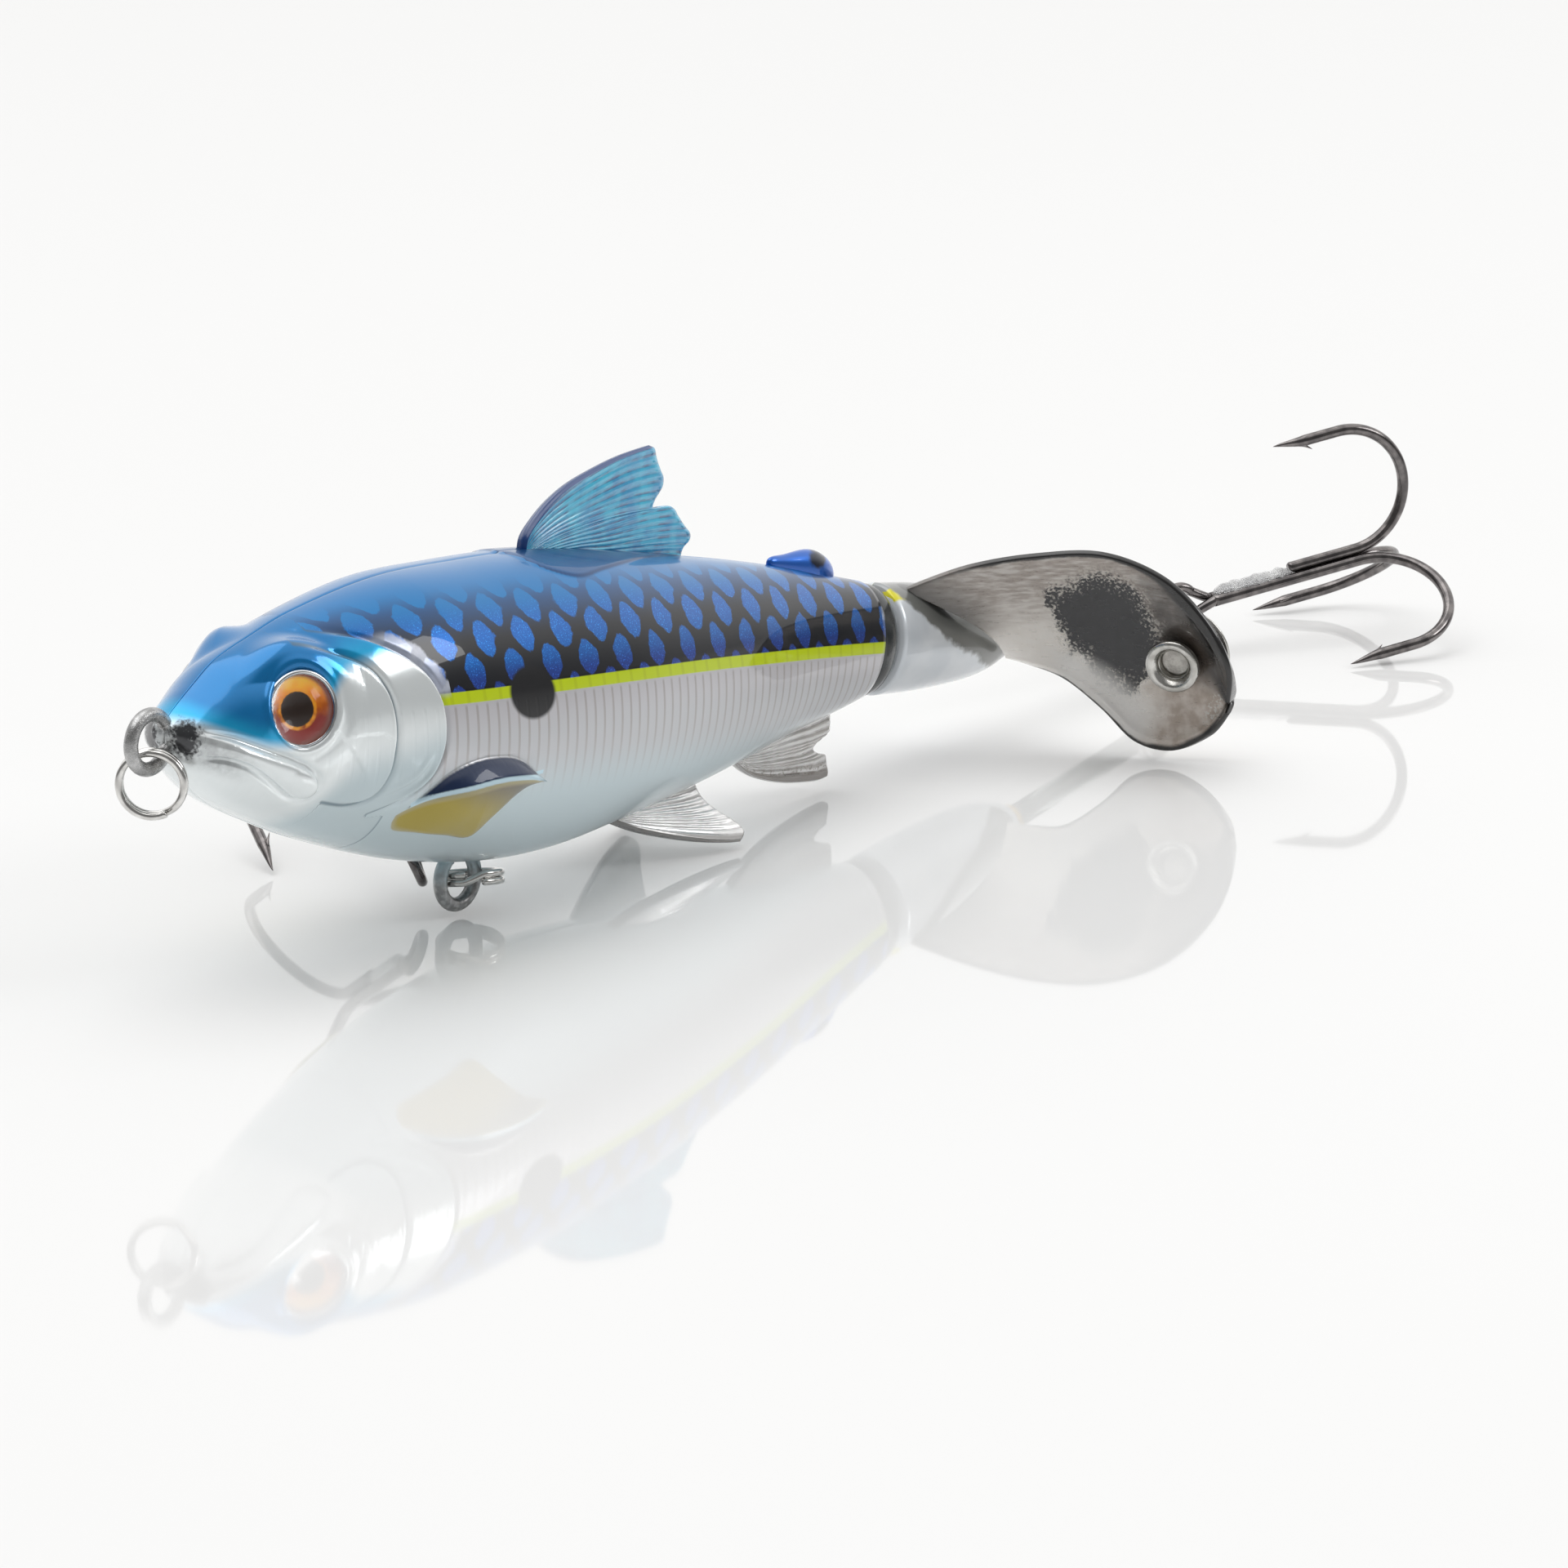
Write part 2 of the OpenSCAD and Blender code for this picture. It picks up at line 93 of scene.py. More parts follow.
def ease(value: np.ndarray, low: float, high: float) -> np.ndarray:
    """A smooth step.

    Args:
        value: What is measured.
        low: Where the step leaves 0.
        high: Where the step reaches 1; it may lie below `low`.

    Returns:
        Values from 0 to 1.
    """
    t = np.clip((np.asarray(value, float) - low) / (high - low), 0, 1)
    return t * t * (3 - 2 * t)


def unit(vector: Sequence[float]) -> np.ndarray:
    """The vector at length 1."""
    v = np.asarray(vector, float)
    return v / np.linalg.norm(v)


def curve_through(points: Sequence[Sequence[float]], count: int) -> np.ndarray:
    """A smooth curve through points.

    Args:
        points: The points that the curve passes.
        count: How many points to return, ends included.

    Returns:
        Points along the curve.
    """
    p = np.asarray(points, float)
    n = len(p) - 1
    u = np.linspace(0, n, count)
    i = np.minimum(u.astype(int), n - 1)
    t = (u - i)[:, None]
    a, b, c, d = p[np.maximum(i - 1, 0)], p[i], p[i + 1], p[np.minimum(i + 2, n)]
    return b + 0.5 * t * (c - a + t * (2 * a - 5 * b + 4 * c - d + t * (3 * (b - c) + d - a)))


def table_value(table: np.ndarray, x: np.ndarray, column: int) -> np.ndarray:
    """A column of a table as a smooth function of its first column.

    Args:
        table: Rows that start with the place.
        x: Places to read.
        column: The column to read.

    Returns:
        The values at x.
    """
    last = len(table) - 1
    i = np.clip(np.searchsorted(table[:, 0], x, side="right") - 1, 0, last - 1)

    def slope(k: np.ndarray) -> np.ndarray:
        """The column's slope at row k."""
        a, b = np.maximum(k - 1, 0), np.minimum(k + 1, last)
        return (table[b, column] - table[a, column]) / (table[b, 0] - table[a, 0])

    w = table[i + 1, 0] - table[i, 0]
    t = (x - table[i, 0]) / w
    value = table[i, column] * (1 + 2 * t) * (1 - t) ** 2 + table[i + 1, column] * t * t * (3 - 2 * t)
    return value + w * (slope(i) * t * (1 - t) ** 2 + slope(i + 1) * t * t * (t - 1))


@dataclass
class CurveField:
    """Where points lie beside a flat curve."""

    distance: np.ndarray
    place: np.ndarray
    side: np.ndarray


def beside(points: np.ndarray, curve: np.ndarray) -> CurveField:
    """Measures points against a flat curve.

    Args:
        points: Flat points, any leading shape.
        curve: The curve's points in order.

    Returns:
        Distance to the curve, place along it from 0 to 1, and the side, +1 on the left.
    """
    best = np.full(points.shape[:-1], 1e9)
    place = np.zeros_like(best)
    side = np.ones_like(best)
    for k in range(len(curve) - 1):
        a, d = curve[k], curve[k + 1] - curve[k]
        rel = points - a
        t = np.clip((rel @ d) / (d @ d), 0, 1)
        off = rel - t[..., None] * d
        gap = np.hypot(off[..., 0], off[..., 1])
        near = gap < best
        best = np.where(near, gap, best)
        place = np.where(near, (k + t) / (len(curve) - 1), place)
        side = np.where(near, np.sign(d[0] * rel[..., 1] - d[1] * rel[..., 0]), side)
    return CurveField(best, place, side)


def inside_depth(points: np.ndarray, outline: np.ndarray) -> np.ndarray:
    """How far points lie inside a closed flat outline.

    Args:
        points: Flat points, any leading shape.
        outline: The outline's corners in order.

    Returns:
        The distance to the outline, negative outside it.
    """
    loop = np.vstack([outline, outline[:1]])
    loop = loop[np.append(True, np.abs(np.diff(loop, axis=0)).sum(axis=1) > 1e-9)]
    within = np.zeros(points.shape[:-1], bool)
    for a, b in zip(loop[:-1], loop[1:]):
        if a[1] == b[1]:
            continue
        spans = (points[..., 1] > min(a[1], b[1])) & (points[..., 1] <= max(a[1], b[1]))
        cross = a[0] + (points[..., 1] - a[1]) / (b[1] - a[1]) * (b[0] - a[0])
        within ^= spans & (points[..., 0] < cross)
    gap = beside(points, loop).distance
    return np.where(within, gap, -gap)


@dataclass
class Axes:
    """A local set of axes in table millimetres."""

    origin: np.ndarray
    x: np.ndarray
    y: np.ndarray
    z: np.ndarray

    def at(self, local: np.ndarray) -> np.ndarray:
        """Local points in table millimetres."""
        p = np.asarray(local, float)
        return self.origin + p[..., :1] * self.x + p[..., 1:2] * self.y + p[..., 2:3] * self.z


def axes_along(
    origin: Sequence[float], direction: Sequence[float], hint: Sequence[float] = (0, 0, 1)
) -> Axes:
    """Axes whose z points in a direction.

    Args:
        origin: Their origin.
        direction: Where local z points.
        hint: A direction that local x leans towards.

    Returns:
        The axes.
    """
    z = unit(direction)
    side = np.asarray(hint, float)
    if abs(z @ unit(side)) > 0.98:
        side = np.array([1.0, 0.0, 0.0])
    x = unit(side - (side @ z) * z)
    return Axes(np.asarray(origin, float), x, np.cross(z, x), z)


def shaft_axes() -> Axes:
    """Axes of the tail shaft: z runs rearward from the body's end and x points down.

    Returns:
        The axes.
    """
    z = np.array([math.cos(SHAFT_TILT), 0.0, -math.sin(SHAFT_TILT)])
    x = np.array([-math.sin(SHAFT_TILT), 0.0, -math.cos(SHAFT_TILT)])
    return Axes(np.asarray(SHAFT_START), x, np.array([0.0, 1.0, 0.0]), z)


class Draft:
    """A mesh being put together, with values that its finish reads."""

    def __init__(self) -> None:
        """Starts an empty mesh."""
        self.points: list[np.ndarray] = []
        self.faces: list[list[int]] = []
        self.values: list[dict[str, np.ndarray]] = []
        self.count = 0

    def grid(
        self, points: np.ndarray, around: bool = False, flip: bool = False, **values: np.ndarray
    ) -> int:
        """Adds a grid of quads.

        Args:
            points: Rows by columns by 3, in table millimetres.
            around: Whether the last column joins the first.
            flip: Whether the faces look the other way.
            **values: Named values, rows by columns.

        Returns:
            The index of the grid's first point.
        """
        rows, cols = points.shape[:2]
        start = self.count
        i, j = np.meshgrid(np.arange(rows - 1), np.arange(cols if around else cols - 1), indexing="ij")
        k = (j + 1) % cols
        quads = np.stack([i * cols + j, i * cols + k, (i + 1) * cols + k, (i + 1) * cols + j], -1)
        if flip:
            quads = quads[..., ::-1]
        self.points.append(points.reshape(-1, 3))
        self.values.append({n: np.asarray(v, float).reshape(-1) for n, v in values.items()})
        self.faces += (quads.reshape(-1, 4) + start).tolist()
        self.count += rows * cols
        return start

    def face(self, corners: Sequence[int]) -> None:
        """Adds one face by the numbers of its corners."""
        self.faces.append([int(c) for c in corners])

    def tube(
        self, path: np.ndarray, radius: np.ndarray | float, sides: int = 24, **values: np.ndarray
    ) -> None:
        """Adds a round rod along a path, closed at both ends.

        Args:
            path: Points along the middle, in table millimetres.
            radius: One radius, or one for each point.
            sides: Corners around.
            **values: Named values, one for each point of the path.
        """
        p = np.asarray(path, float)
        r = np.broadcast_to(np.asarray(radius, float), (len(p),))
        tangent = np.gradient(p, axis=0)
        tangent /= np.linalg.norm(tangent, axis=1)[:, None]
        normal = unit(np.cross(tangent[0], (0.31, 0.27, 0.91)))
        angle = np.linspace(0, 2 * math.pi, sides, endpoint=False)
        rings = []
        for k in range(len(p)):
            normal = unit(normal - (normal @ tangent[k]) * tangent[k])
            other = np.cross(tangent[k], normal)
            rings.append(p[k] + r[k] * (np.cos(angle)[:, None] * normal + np.sin(angle)[:, None] * other))
        spread = {n: np.repeat(np.asarray(v, float)[:, None], sides, 1) for n, v in values.items()}
        start = self.grid(np.array(rings), around=True, flip=True, **spread)
        self.face(range(start, start + sides))
        last = start + (len(p) - 1) * sides
        self.face(range(last + sides - 1, last - 1, -1))

    def lathe(
        self, profile: Sequence[Sequence[float]], axes: Axes, steps: int = 72, squash: float = 1.0
    ) -> None:
        """Adds a turned shape.

        Args:
            profile: Radius and height pairs.
            axes: Its axes; z is the turning axis.
            steps: Corners around.
            squash: Width along local y as a share of that along x.
        """
        p = np.asarray(profile, float)
        angle = np.linspace(0, 2 * math.pi, steps, endpoint=False)
        local = np.stack(
            [
                p[:, :1] * np.cos(angle),
                squash * p[:, :1] * np.sin(angle),
                np.repeat(p[:, 1:2], steps, 1),
            ],
            -1,
        )
        out = np.repeat(p[:, :1], steps, 1)
        self.grid(axes.at(local), around=True, out=out, turn=np.repeat(angle[None], len(p), 0))

    def plate(self, sheet: np.ndarray, lift: np.ndarray, **values: np.ndarray) -> None:
        """Adds a plate: a sheet's two faces, joined round their rim.

        Args:
            sheet: The middle surface, rows by columns by 3.
            lift: From the middle to the first face.
            **values: Named values, rows by columns.
        """
        m, n = sheet.shape[:2]
        first = self.grid(sheet + lift, **values)
        second = self.grid(sheet - lift, flip=True, **values)
        rim = list(range(n)) + [i * n + n - 1 for i in range(1, m)]
        rim += [(m - 1) * n + j for j in range(n - 2, -1, -1)] + [i * n for i in range(m - 2, 0, -1)]
        for a, b in zip(rim, rim[1:] + rim[:1]):
            self.face([first + b, first + a, second + a, second + b])

    def piece(
        self,
        name: str,
        finish: "Finish",
        body: str,
        slot: str,
        replaces: Sequence[str] = (),
    ) -> bpy.types.Object:
        """Makes the object and puts it on its body.

        Args:
            name: The piece's name.
            finish: What it is dressed in.
            body: The part's body that it rides on.
            slot: A material slot's name; not used.
            replaces: The part's nodes that it stands for.

        Returns:
            The new object.
        """
        mesh = bpy.data.meshes.new(name)
        mesh.from_pydata(placed(np.vstack(self.points)).tolist(), [], self.faces)
        mesh.validate()
        mesh.shade_smooth()
        for key in sorted({k for v in self.values for k in v}):
            row = [v.get(key, np.zeros(len(p))) for p, v in zip(self.points, self.values)]
            layer = mesh.attributes.new(key, "FLOAT", "POINT")
            layer.data.foreach_set("value", np.concatenate(row).astype(np.float32))
        mesh.materials.append(finish.material())
        piece = bpy.data.objects.new(name, mesh)
        bpy.context.scene.collection.objects.link(piece)
        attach(piece, body)
        if replaces:
            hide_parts(*replaces)
        log.info("%s: %d faces on %s, finish %s", name, len(mesh.polygons), body, finish.name)
        return piece


# ---------------------------------------------------------------------------- finishes


class Bench:
    """A short way to lay out one material's nodes."""

    def __init__(self, name: str) -> None:
        """Makes a material that has one principled shader.

        Args:
            name: The material's name.
        """
        self.material = bpy.data.materials.new(name)
        self.material.use_nodes = True
        self.tree = self.material.node_tree
        self.shader = self.tree.nodes["Principled BSDF"]
        coordinates = self.tree.nodes.new("ShaderNodeTexCoord")
        self.place = self.vector("MULTIPLY", coordinates.outputs["Object"], (1000.0, 1000.0, 1000.0))
        split = self.tree.nodes.new("ShaderNodeSeparateXYZ")
        self.tree.links.new(self.place, split.inputs[0])
        self.x, self.y, self.z = split.outputs

    def feed(self, socket: Socket, value: object) -> None:
        """Links a socket or sets its value.

        Args:
            socket: The input to feed.
            value: Another node's output, a number or a colour.
        """
        if isinstance(value, Socket):
            self.tree.links.new(value, socket)
        elif socket.type == "RGBA":
            socket.default_value = (*value[:3], 1.0)
        else:
            socket.default_value = value

    def vector(self, operation: str, a: object, b: object) -> Socket:
        """One vector sum.

        Args:
            operation: The node's operation.
            a: The first vector.
            b: The second vector.

        Returns:
            The result's output.
        """
        node = self.tree.nodes.new("ShaderNodeVectorMath")
        node.operation = operation
        self.feed(node.inputs[0], a)
        self.feed(node.inputs[1], b)
        return node.outputs[0]

    def length(self, vector: Socket) -> Socket:
        """A vector's length.

        Args:
            vector: The vector to measure.

        Returns:
            Its length.
        """
        node = self.tree.nodes.new("ShaderNodeVectorMath")
        node.operation = "LENGTH"
        self.feed(node.inputs[0], vector)
        return node.outputs["Value"]

    def sum(self, operation: str, a: object, b: object = 0.0) -> Socket:
        """One sum of numbers.

        Args:
            operation: The node's operation.
            a: The first number.
            b: The second number.

        Returns:
            The result's output.
        """
        node = self.tree.nodes.new("ShaderNodeMath")
        node.operation = operation
        self.feed(node.inputs[0], a)
        self.feed(node.inputs[1], b)
        return node.outputs[0]

    def times(self, *factors: object) -> Socket:
        """The product of all factors.

        Args:
            *factors: Numbers or outputs.

        Returns:
            Their product.
        """
        product = factors[0]
        for factor in factors[1:]:
            product = self.sum("MULTIPLY", product, factor)
        return product

    def step(self, value: object, low: float, high: float) -> Socket:
        """A smooth step from 0 at low to 1 at high.

        Args:
            value: The number that is measured.
            low: Where it is 0.
            high: Where it is 1; it may lie below `low`.

        Returns:
            The step's output.
        """
        node = self.tree.nodes.new("ShaderNodeMapRange")
        node.interpolation_type = "SMOOTHSTEP"
        turned = high < low
        self.feed(node.inputs["Value"], value)
        node.inputs["From Min"].default_value = high if turned else low
        node.inputs["From Max"].default_value = low if turned else high
        node.inputs["To Min"].default_value = 1.0 if turned else 0.0
        node.inputs["To Max"].default_value = 0.0 if turned else 1.0
        return node.outputs["Result"]

    def mix(self, share: object, low: object, high: object) -> Socket:
        """A mix of two colours by a share from 0 to 1.

        Args:
            share: How much of the second colour shows.
            low: The first colour.
            high: The second colour.

        Returns:
            The mixed colour.
        """
        node = self.tree.nodes.new("ShaderNodeMix")
        node.data_type = "RGBA"
        self.feed(node.inputs["Factor"], share)
        self.feed(node.inputs[6], low)
        self.feed(node.inputs[7], high)
        return node.outputs[2]

    def blend(self, share: object, low: object, high: object) -> Socket:
        """A mix of two numbers by a share from 0 to 1.

        Args:
            share: How much of the second number counts.
            low: The first number.
            high: The second number.

        Returns:
            The mixed number.
        """
        node = self.tree.nodes.new("ShaderNodeMix")
        node.data_type = "FLOAT"
        self.feed(node.inputs["Factor"], share)
        self.feed(node.inputs[2], low)
        self.feed(node.inputs[3], high)
        return node.outputs[0]

    def noise(
        self, per_mm: float, detail: float = 2.0, stretch: Sequence[float] = (1, 1, 1)
    ) -> Socket:
        """Soft noise.

        Args:
            per_mm: How many blobs fit in a millimetre.
            detail: How many finer layers it has.
            stretch: Its scale along each axis.

        Returns:
            Values from 0 to 1.
        """
        node = self.tree.nodes.new("ShaderNodeTexNoise")
        node.inputs["Scale"].default_value = per_mm
        node.inputs["Detail"].default_value = detail
        self.feed(node.inputs["Vector"], self.vector("MULTIPLY", self.place, tuple(stretch)))
        return node.outputs["Fac"]

    def field(self, name: str) -> Socket:
        """A value stored on the mesh.

        Args:
            name: The value's name.

        Returns:
            The value at each place.
        """
        node = self.tree.nodes.new("ShaderNodeAttribute")
        node.attribute_name = name
        return node.outputs["Fac"]

    def bump(self, height: object, depth_mm: float, strength: float = 1.0) -> None:
        """Raises the surface by a height from 0 to 1.

        Args:
            height: The height.
            depth_mm: How far a height of 1 stands out.
            strength: How much of that is shown.
        """
        node = self.tree.nodes.new("ShaderNodeBump")
        node.inputs["Strength"].default_value = strength
        node.inputs["Distance"].default_value = depth_mm / 1000.0
        self.feed(node.inputs["Height"], height)
        self.tree.links.new(node.outputs["Normal"], self.shader.inputs["Normal"])

    def dress(self, **inputs: object) -> bpy.types.Material:
        """Feeds the shader's inputs.

        Args:
            **inputs: Input names with underscores for spaces, and their values.

        Returns:
            The finished material.
        """
        for name, value in inputs.items():
            self.feed(self.shader.inputs[name.replace("_", " ")], value)
        return self.material


@dataclass(frozen=True)
class Finish:
    """A surface finish; subclasses lay out its nodes once."""

    name: str = "finish"

    def material(self) -> bpy.types.Material:
        """The finish's material, made on first use."""
        full_name = f"{self.name}_finish"
        return bpy.data.materials.get(full_name) or self.lay(Bench(full_name))

    def lay(self, bench: Bench) -> bpy.types.Material:
        """Lays out the nodes; each finish has its own.

        Args:
            bench: The material's bench.

        Returns:
            The dressed material.
        """
        raise NotImplementedError


@dataclass(frozen=True)
class Metal(Finish):
    """Wire or plate metal with drawn streaks and faint handling marks."""

    colour: Colour = (0.7, 0.7, 0.7)
    worn: Colour = (0.5, 0.5, 0.5)
    roughness: float = 0.2
    grain: float = 0.0

    def lay(self, bench: Bench) -> bpy.types.Material:
        """Mixes two tones by noise and varies the roughness.

        Args:
            bench: The material's bench.

        Returns:
            The dressed material.
        """
        tone = bench.step(bench.noise(0.9, 4), 0.35, 0.7)
        speck = bench.noise(9.0, 3)
        rough = bench.blend(bench.step(speck, 0.3, 0.75), self.roughness * 0.7, self.roughness * 1.5)
        bench.bump(speck, self.grain)
        return bench.dress(
            Base_Color=bench.mix(tone, self.worn, self.colour),
            Metallic=1.0,
            Roughness=rough,
        )


@dataclass(frozen=True)
class Moulded(Finish):
    """Plain moulded plastic, solid or clear, with a faint flow pattern."""

    colour: Colour = (0.5, 0.5, 0.5)
    deep: Colour = (0.4, 0.4, 0.4)
    roughness: float = 0.2
    clear: float = 0.0
    ior: float = 1.5

    def lay(self, bench: Bench) -> bpy.types.Material:
        """Mixes two tones by long soft noise.

        Args:
            bench: The material's bench.

        Returns:
            The dressed material.
        """
        flow = bench.noise(0.35, 3, (0.4, 1, 1))
        skin = bench.noise(4.0, 2)
        bench.bump(skin, 0.012)
        return bench.dress(
            Base_Color=bench.mix(bench.step(flow, 0.3, 0.7), self.deep, self.colour),
            Roughness=bench.blend(skin, self.roughness * 0.7, self.roughness * 1.3),
            Transmission_Weight=self.clear,
            IOR=self.ior,
            Coat_Weight=0.3 if self.clear == 0 else 0.0,
            Coat_Roughness=0.04,
        )


@dataclass(frozen=True)
class ShellPaint(Finish):
    """The painted shells: candy blue back, netted flank, bright line, ribbed pearl and chrome head.

    The mesh carries the distance above the side line, behind the gill edge, behind the cheek
    plate, above the head's colour change, and into the two faces of the breast fin.
    """

    scale_pitch: float = 5.43
    scale_rise: float = 5.9
    first_row: float = 2.35
    rib_pitch: float = 1.4
    spot: tuple[float, float, float, float] = (41.9, -0.3, 3.15, 2.5)
    blue: Colour = (0.002, 0.20, 0.52)
    cyan: Colour = (0.010, 0.44, 0.80)
    silver: Colour = (0.92, 0.97, 0.98)
    pearl: Colour = (0.60, 0.61, 0.635)
    belly: Colour = (0.62, 0.73, 0.77)
    lime: Colour = (0.58, 0.72, 0.0)
    olive: Colour = (0.46, 0.36, 0.05)
    navy: Colour = (0.006, 0.022, 0.075)
    pearl_high: Colour = (0.62, 0.61, 0.64)
    rib: Colour = (0.36, 0.32, 0.30)
    ink: Colour = (0.003, 0.004, 0.008)
    ink_high: Colour = (0.006, 0.085, 0.26)
    cell: tuple[Colour, Colour] = ((0.006, 0.125, 0.48), (0.03, 0.32, 0.88))
    cell_low: tuple[Colour, Colour] = ((0.02, 0.06, 0.34), (0.05, 0.20, 0.90))
    lime_tick: Colour = (0.42, 0.50, 0.0)
    saddle: Colour = (0.001, 0.10, 0.30)
    saddle_seam: Colour = (0.002, 0.03, 0.12)
    line_foot: tuple[float, float] = (-0.62, -0.5)
    line_roof: tuple[float, float] = (0.52, 0.64)
    nose_dust_at: tuple[float, float, float] = (2.9, 1.9, 0.3)

    def net(self, bench: Bench, up: Socket) -> Socket:
        """How much a place belongs to a scale rather than to the net between scales.

        Args:
            bench: The material's bench.
            up: The distance above the side line.

        Returns:
            1 inside a scale and 0 on the net.
        """
        wander = bench.times(bench.sum("SUBTRACT", bench.noise(0.5, 2), 0.5), 0.22)
        along = bench.sum("ADD", bench.times(bench.x, 1 / self.scale_pitch), wander)
        rise = bench.times(bench.sum("SUBTRACT", up, self.first_row), 1 / self.scale_rise)
        folds = []
        for way in ("ADD", "SUBTRACT"):
            turn = bench.sum("ADD", bench.sum(way, along, rise), 0.11)
            folds.append(bench.sum("ABSOLUTE", bench.sum("SINE", bench.times(turn, math.pi))))
        across = bench.times(bench.sum("ADD", along, 0.11), 2 * math.pi)
        row = bench.sum("ABSOLUTE", bench.sum("COSINE", across))
        narrow = bench.times(bench.sum("SUBTRACT", 1.0, row), -0.16)
        rough_edge = bench.times(bench.sum("SUBTRACT", bench.noise(3.0, 3), 0.5), 0.20)
        high = bench.times(bench.step(up, 3.0, 7.5), 0.10)
        diamond = bench.sum("ADD", bench.times(*folds), high)
        return bench.step(bench.sum("ADD", diamond, bench.sum("ADD", narrow, rough_edge)), 0.31, 0.43)

    def ribs(self, bench: Bench) -> Socket:
        """Thin upright lines, 1 on a line."""
        wave = bench.sum("SINE", bench.times(bench.x, 2 * math.pi / self.rib_pitch))
        return bench.step(wave, 0.55, 0.97)

    def flank(
        self, bench: Bench, up: Socket, scale: Socket, ribs: Socket
    ) -> Socket:
        """The side behind the head: ribbed pearl, the bright line, and scales that fade up into the back.

        Args:
            bench: The material's bench.
            up: The distance above the side line.
            scale: 1 inside a scale.
            ribs: How much a rib darkens the pearl.

        Returns:
            The colour.
        """
        glitter = bench.step(bench.noise(7.0, 2), 0.56, 0.70)
        pearl = bench.mix(bench.step(up, -5.5, -11.0), self.pearl, self.belly)
        pearl = bench.mix(bench.step(up, -1.2, -4.5), self.pearl_high, pearl)
        pearl = bench.mix(ribs, pearl, self.rib)
        ink = bench.mix(bench.step(up, 5.0, 10.0), self.ink, self.ink_high)
        cell = bench.mix(glitter, *self.cell)
        cell = bench.mix(bench.step(up, 3.4, 1.0), cell, bench.mix(glitter, *self.cell_low))
        cell = bench.mix(bench.step(up, 6.0, 10.0), cell, self.blue)
        netted = bench.mix(bench.step(up, 8.5, 12.0), bench.mix(scale, ink, cell), self.blue)
        ticks = bench.times(bench.step(bench.sum("SINE", bench.times(bench.x, 2.9)), 0.6, 1.0), 0.35)
        line = bench.mix(ticks, self.lime, self.lime_tick)
        paint = bench.mix(bench.step(up, *self.line_foot), pearl, line)
        return bench.mix(bench.step(up, *self.line_roof), paint, netted)

    def spot_share(self, bench: Bench, up: Socket) -> Socket:
        """The round spot behind the gill plate, 1 on it.

        Args:
            bench: The material's bench.
            up: The distance above the side line.

        Returns:
            1 on the spot and 0 off it.
        """
        along, above, half_x, half_up = self.spot
        spot_x = bench.times(bench.sum("SUBTRACT", bench.x, along), 1 / half_x)
        spot_up = bench.times(bench.sum("SUBTRACT", up, above), 1 / half_up)
        out = bench.sum("ADD", bench.times(spot_x, spot_x), bench.times(spot_up, spot_up))
        return bench.step(out, 1.22, 0.84)

    def head(
        self, bench: Bench, crown: Socket, cheek: Socket, gill: Socket
    ) -> Socket:
        """The head: chrome cheeks, cyan into candy blue above, painted shade along the plate edges and a
        dusted nose.

        Args:
            bench: The material's bench.
            crown: The height above the colour change.
            cheek: The distance behind the cheek plate's edge.
            gill: The distance behind the gill plate's edge.

        Returns:
            The colour.
        """
        soft = bench.times(bench.noise(0.16, 3), 1.5)
        head = bench.mix(bench.step(crown, 0.0, 1.6), self.silver, self.cyan)
        head = bench.mix(bench.step(bench.sum("ADD", crown, soft), 1.9, 4.4), head, self.blue)
        head = bench.mix(bench.step(crown, -6.0, -10.0), head, self.belly)
        # painted shade in the groove along the cheek plate's edge and under the gill plate's edge
        crease_shade = bench.times(bench.step(cheek, -0.25, 0.02), bench.step(cheek, 0.35, 0.08), 0.75)
        head = bench.mix(crease_shade, head, (0.10, 0.17, 0.22))
        head = bench.mix(bench.times(bench.step(gill, -0.3, -0.05), 0.6), head, (0.07, 0.14, 0.20))
        jaw = bench.times(bench.step(crown, 0.3, -0.5), bench.step(crown, -4.0, -2.6))
        scuff = bench.times(bench.step(bench.x, 9.0, 4.0), jaw)
        head = bench.mix(bench.times(scuff, bench.noise(1.6, 4), 0.9), head, (0.30, 0.31, 0.32))
        mirrored = bench.vector("ABSOLUTE", bench.place, (0, 0, 0))
        from_nose = bench.vector("SUBTRACT", mirrored, self.nose_dust_at)
        dust = bench.sum("ADD", bench.length(from_nose), bench.times(bench.noise(2.8, 4), 2.4))
        return bench.mix(bench.times(bench.step(dust, 3.0, 2.1), 0.95), head, (0.025, 0.025, 0.03))

    def shoulder(
        self, bench: Bench, paint: Socket, gill: Socket, behind: Socket
    ) -> Socket:
        """Adds the ragged patch of bare foil behind the gill plate.

        Args:
            bench: The material's bench.
            paint: The colour so far.
            gill: The distance behind the gill plate's edge.
            behind: 1 behind that edge.

        Returns:
            The colour with the patch.
        """
        ragged = bench.sum("ADD", gill, bench.times(bench.noise(1.1, 2), 1.1))
        tall = bench.times(bench.step(bench.z, -0.9, 0.1), bench.step(bench.z, 6.2, 5.2))
        patch = bench.times(behind, bench.step(ragged, 2.4, 1.9), tall, 0.9)
        return bench.mix(patch, paint, bench.mix(bench.noise(0.9, 3), (0.35, 0.40, 0.50), (0.72, 0.74, 0.84)))

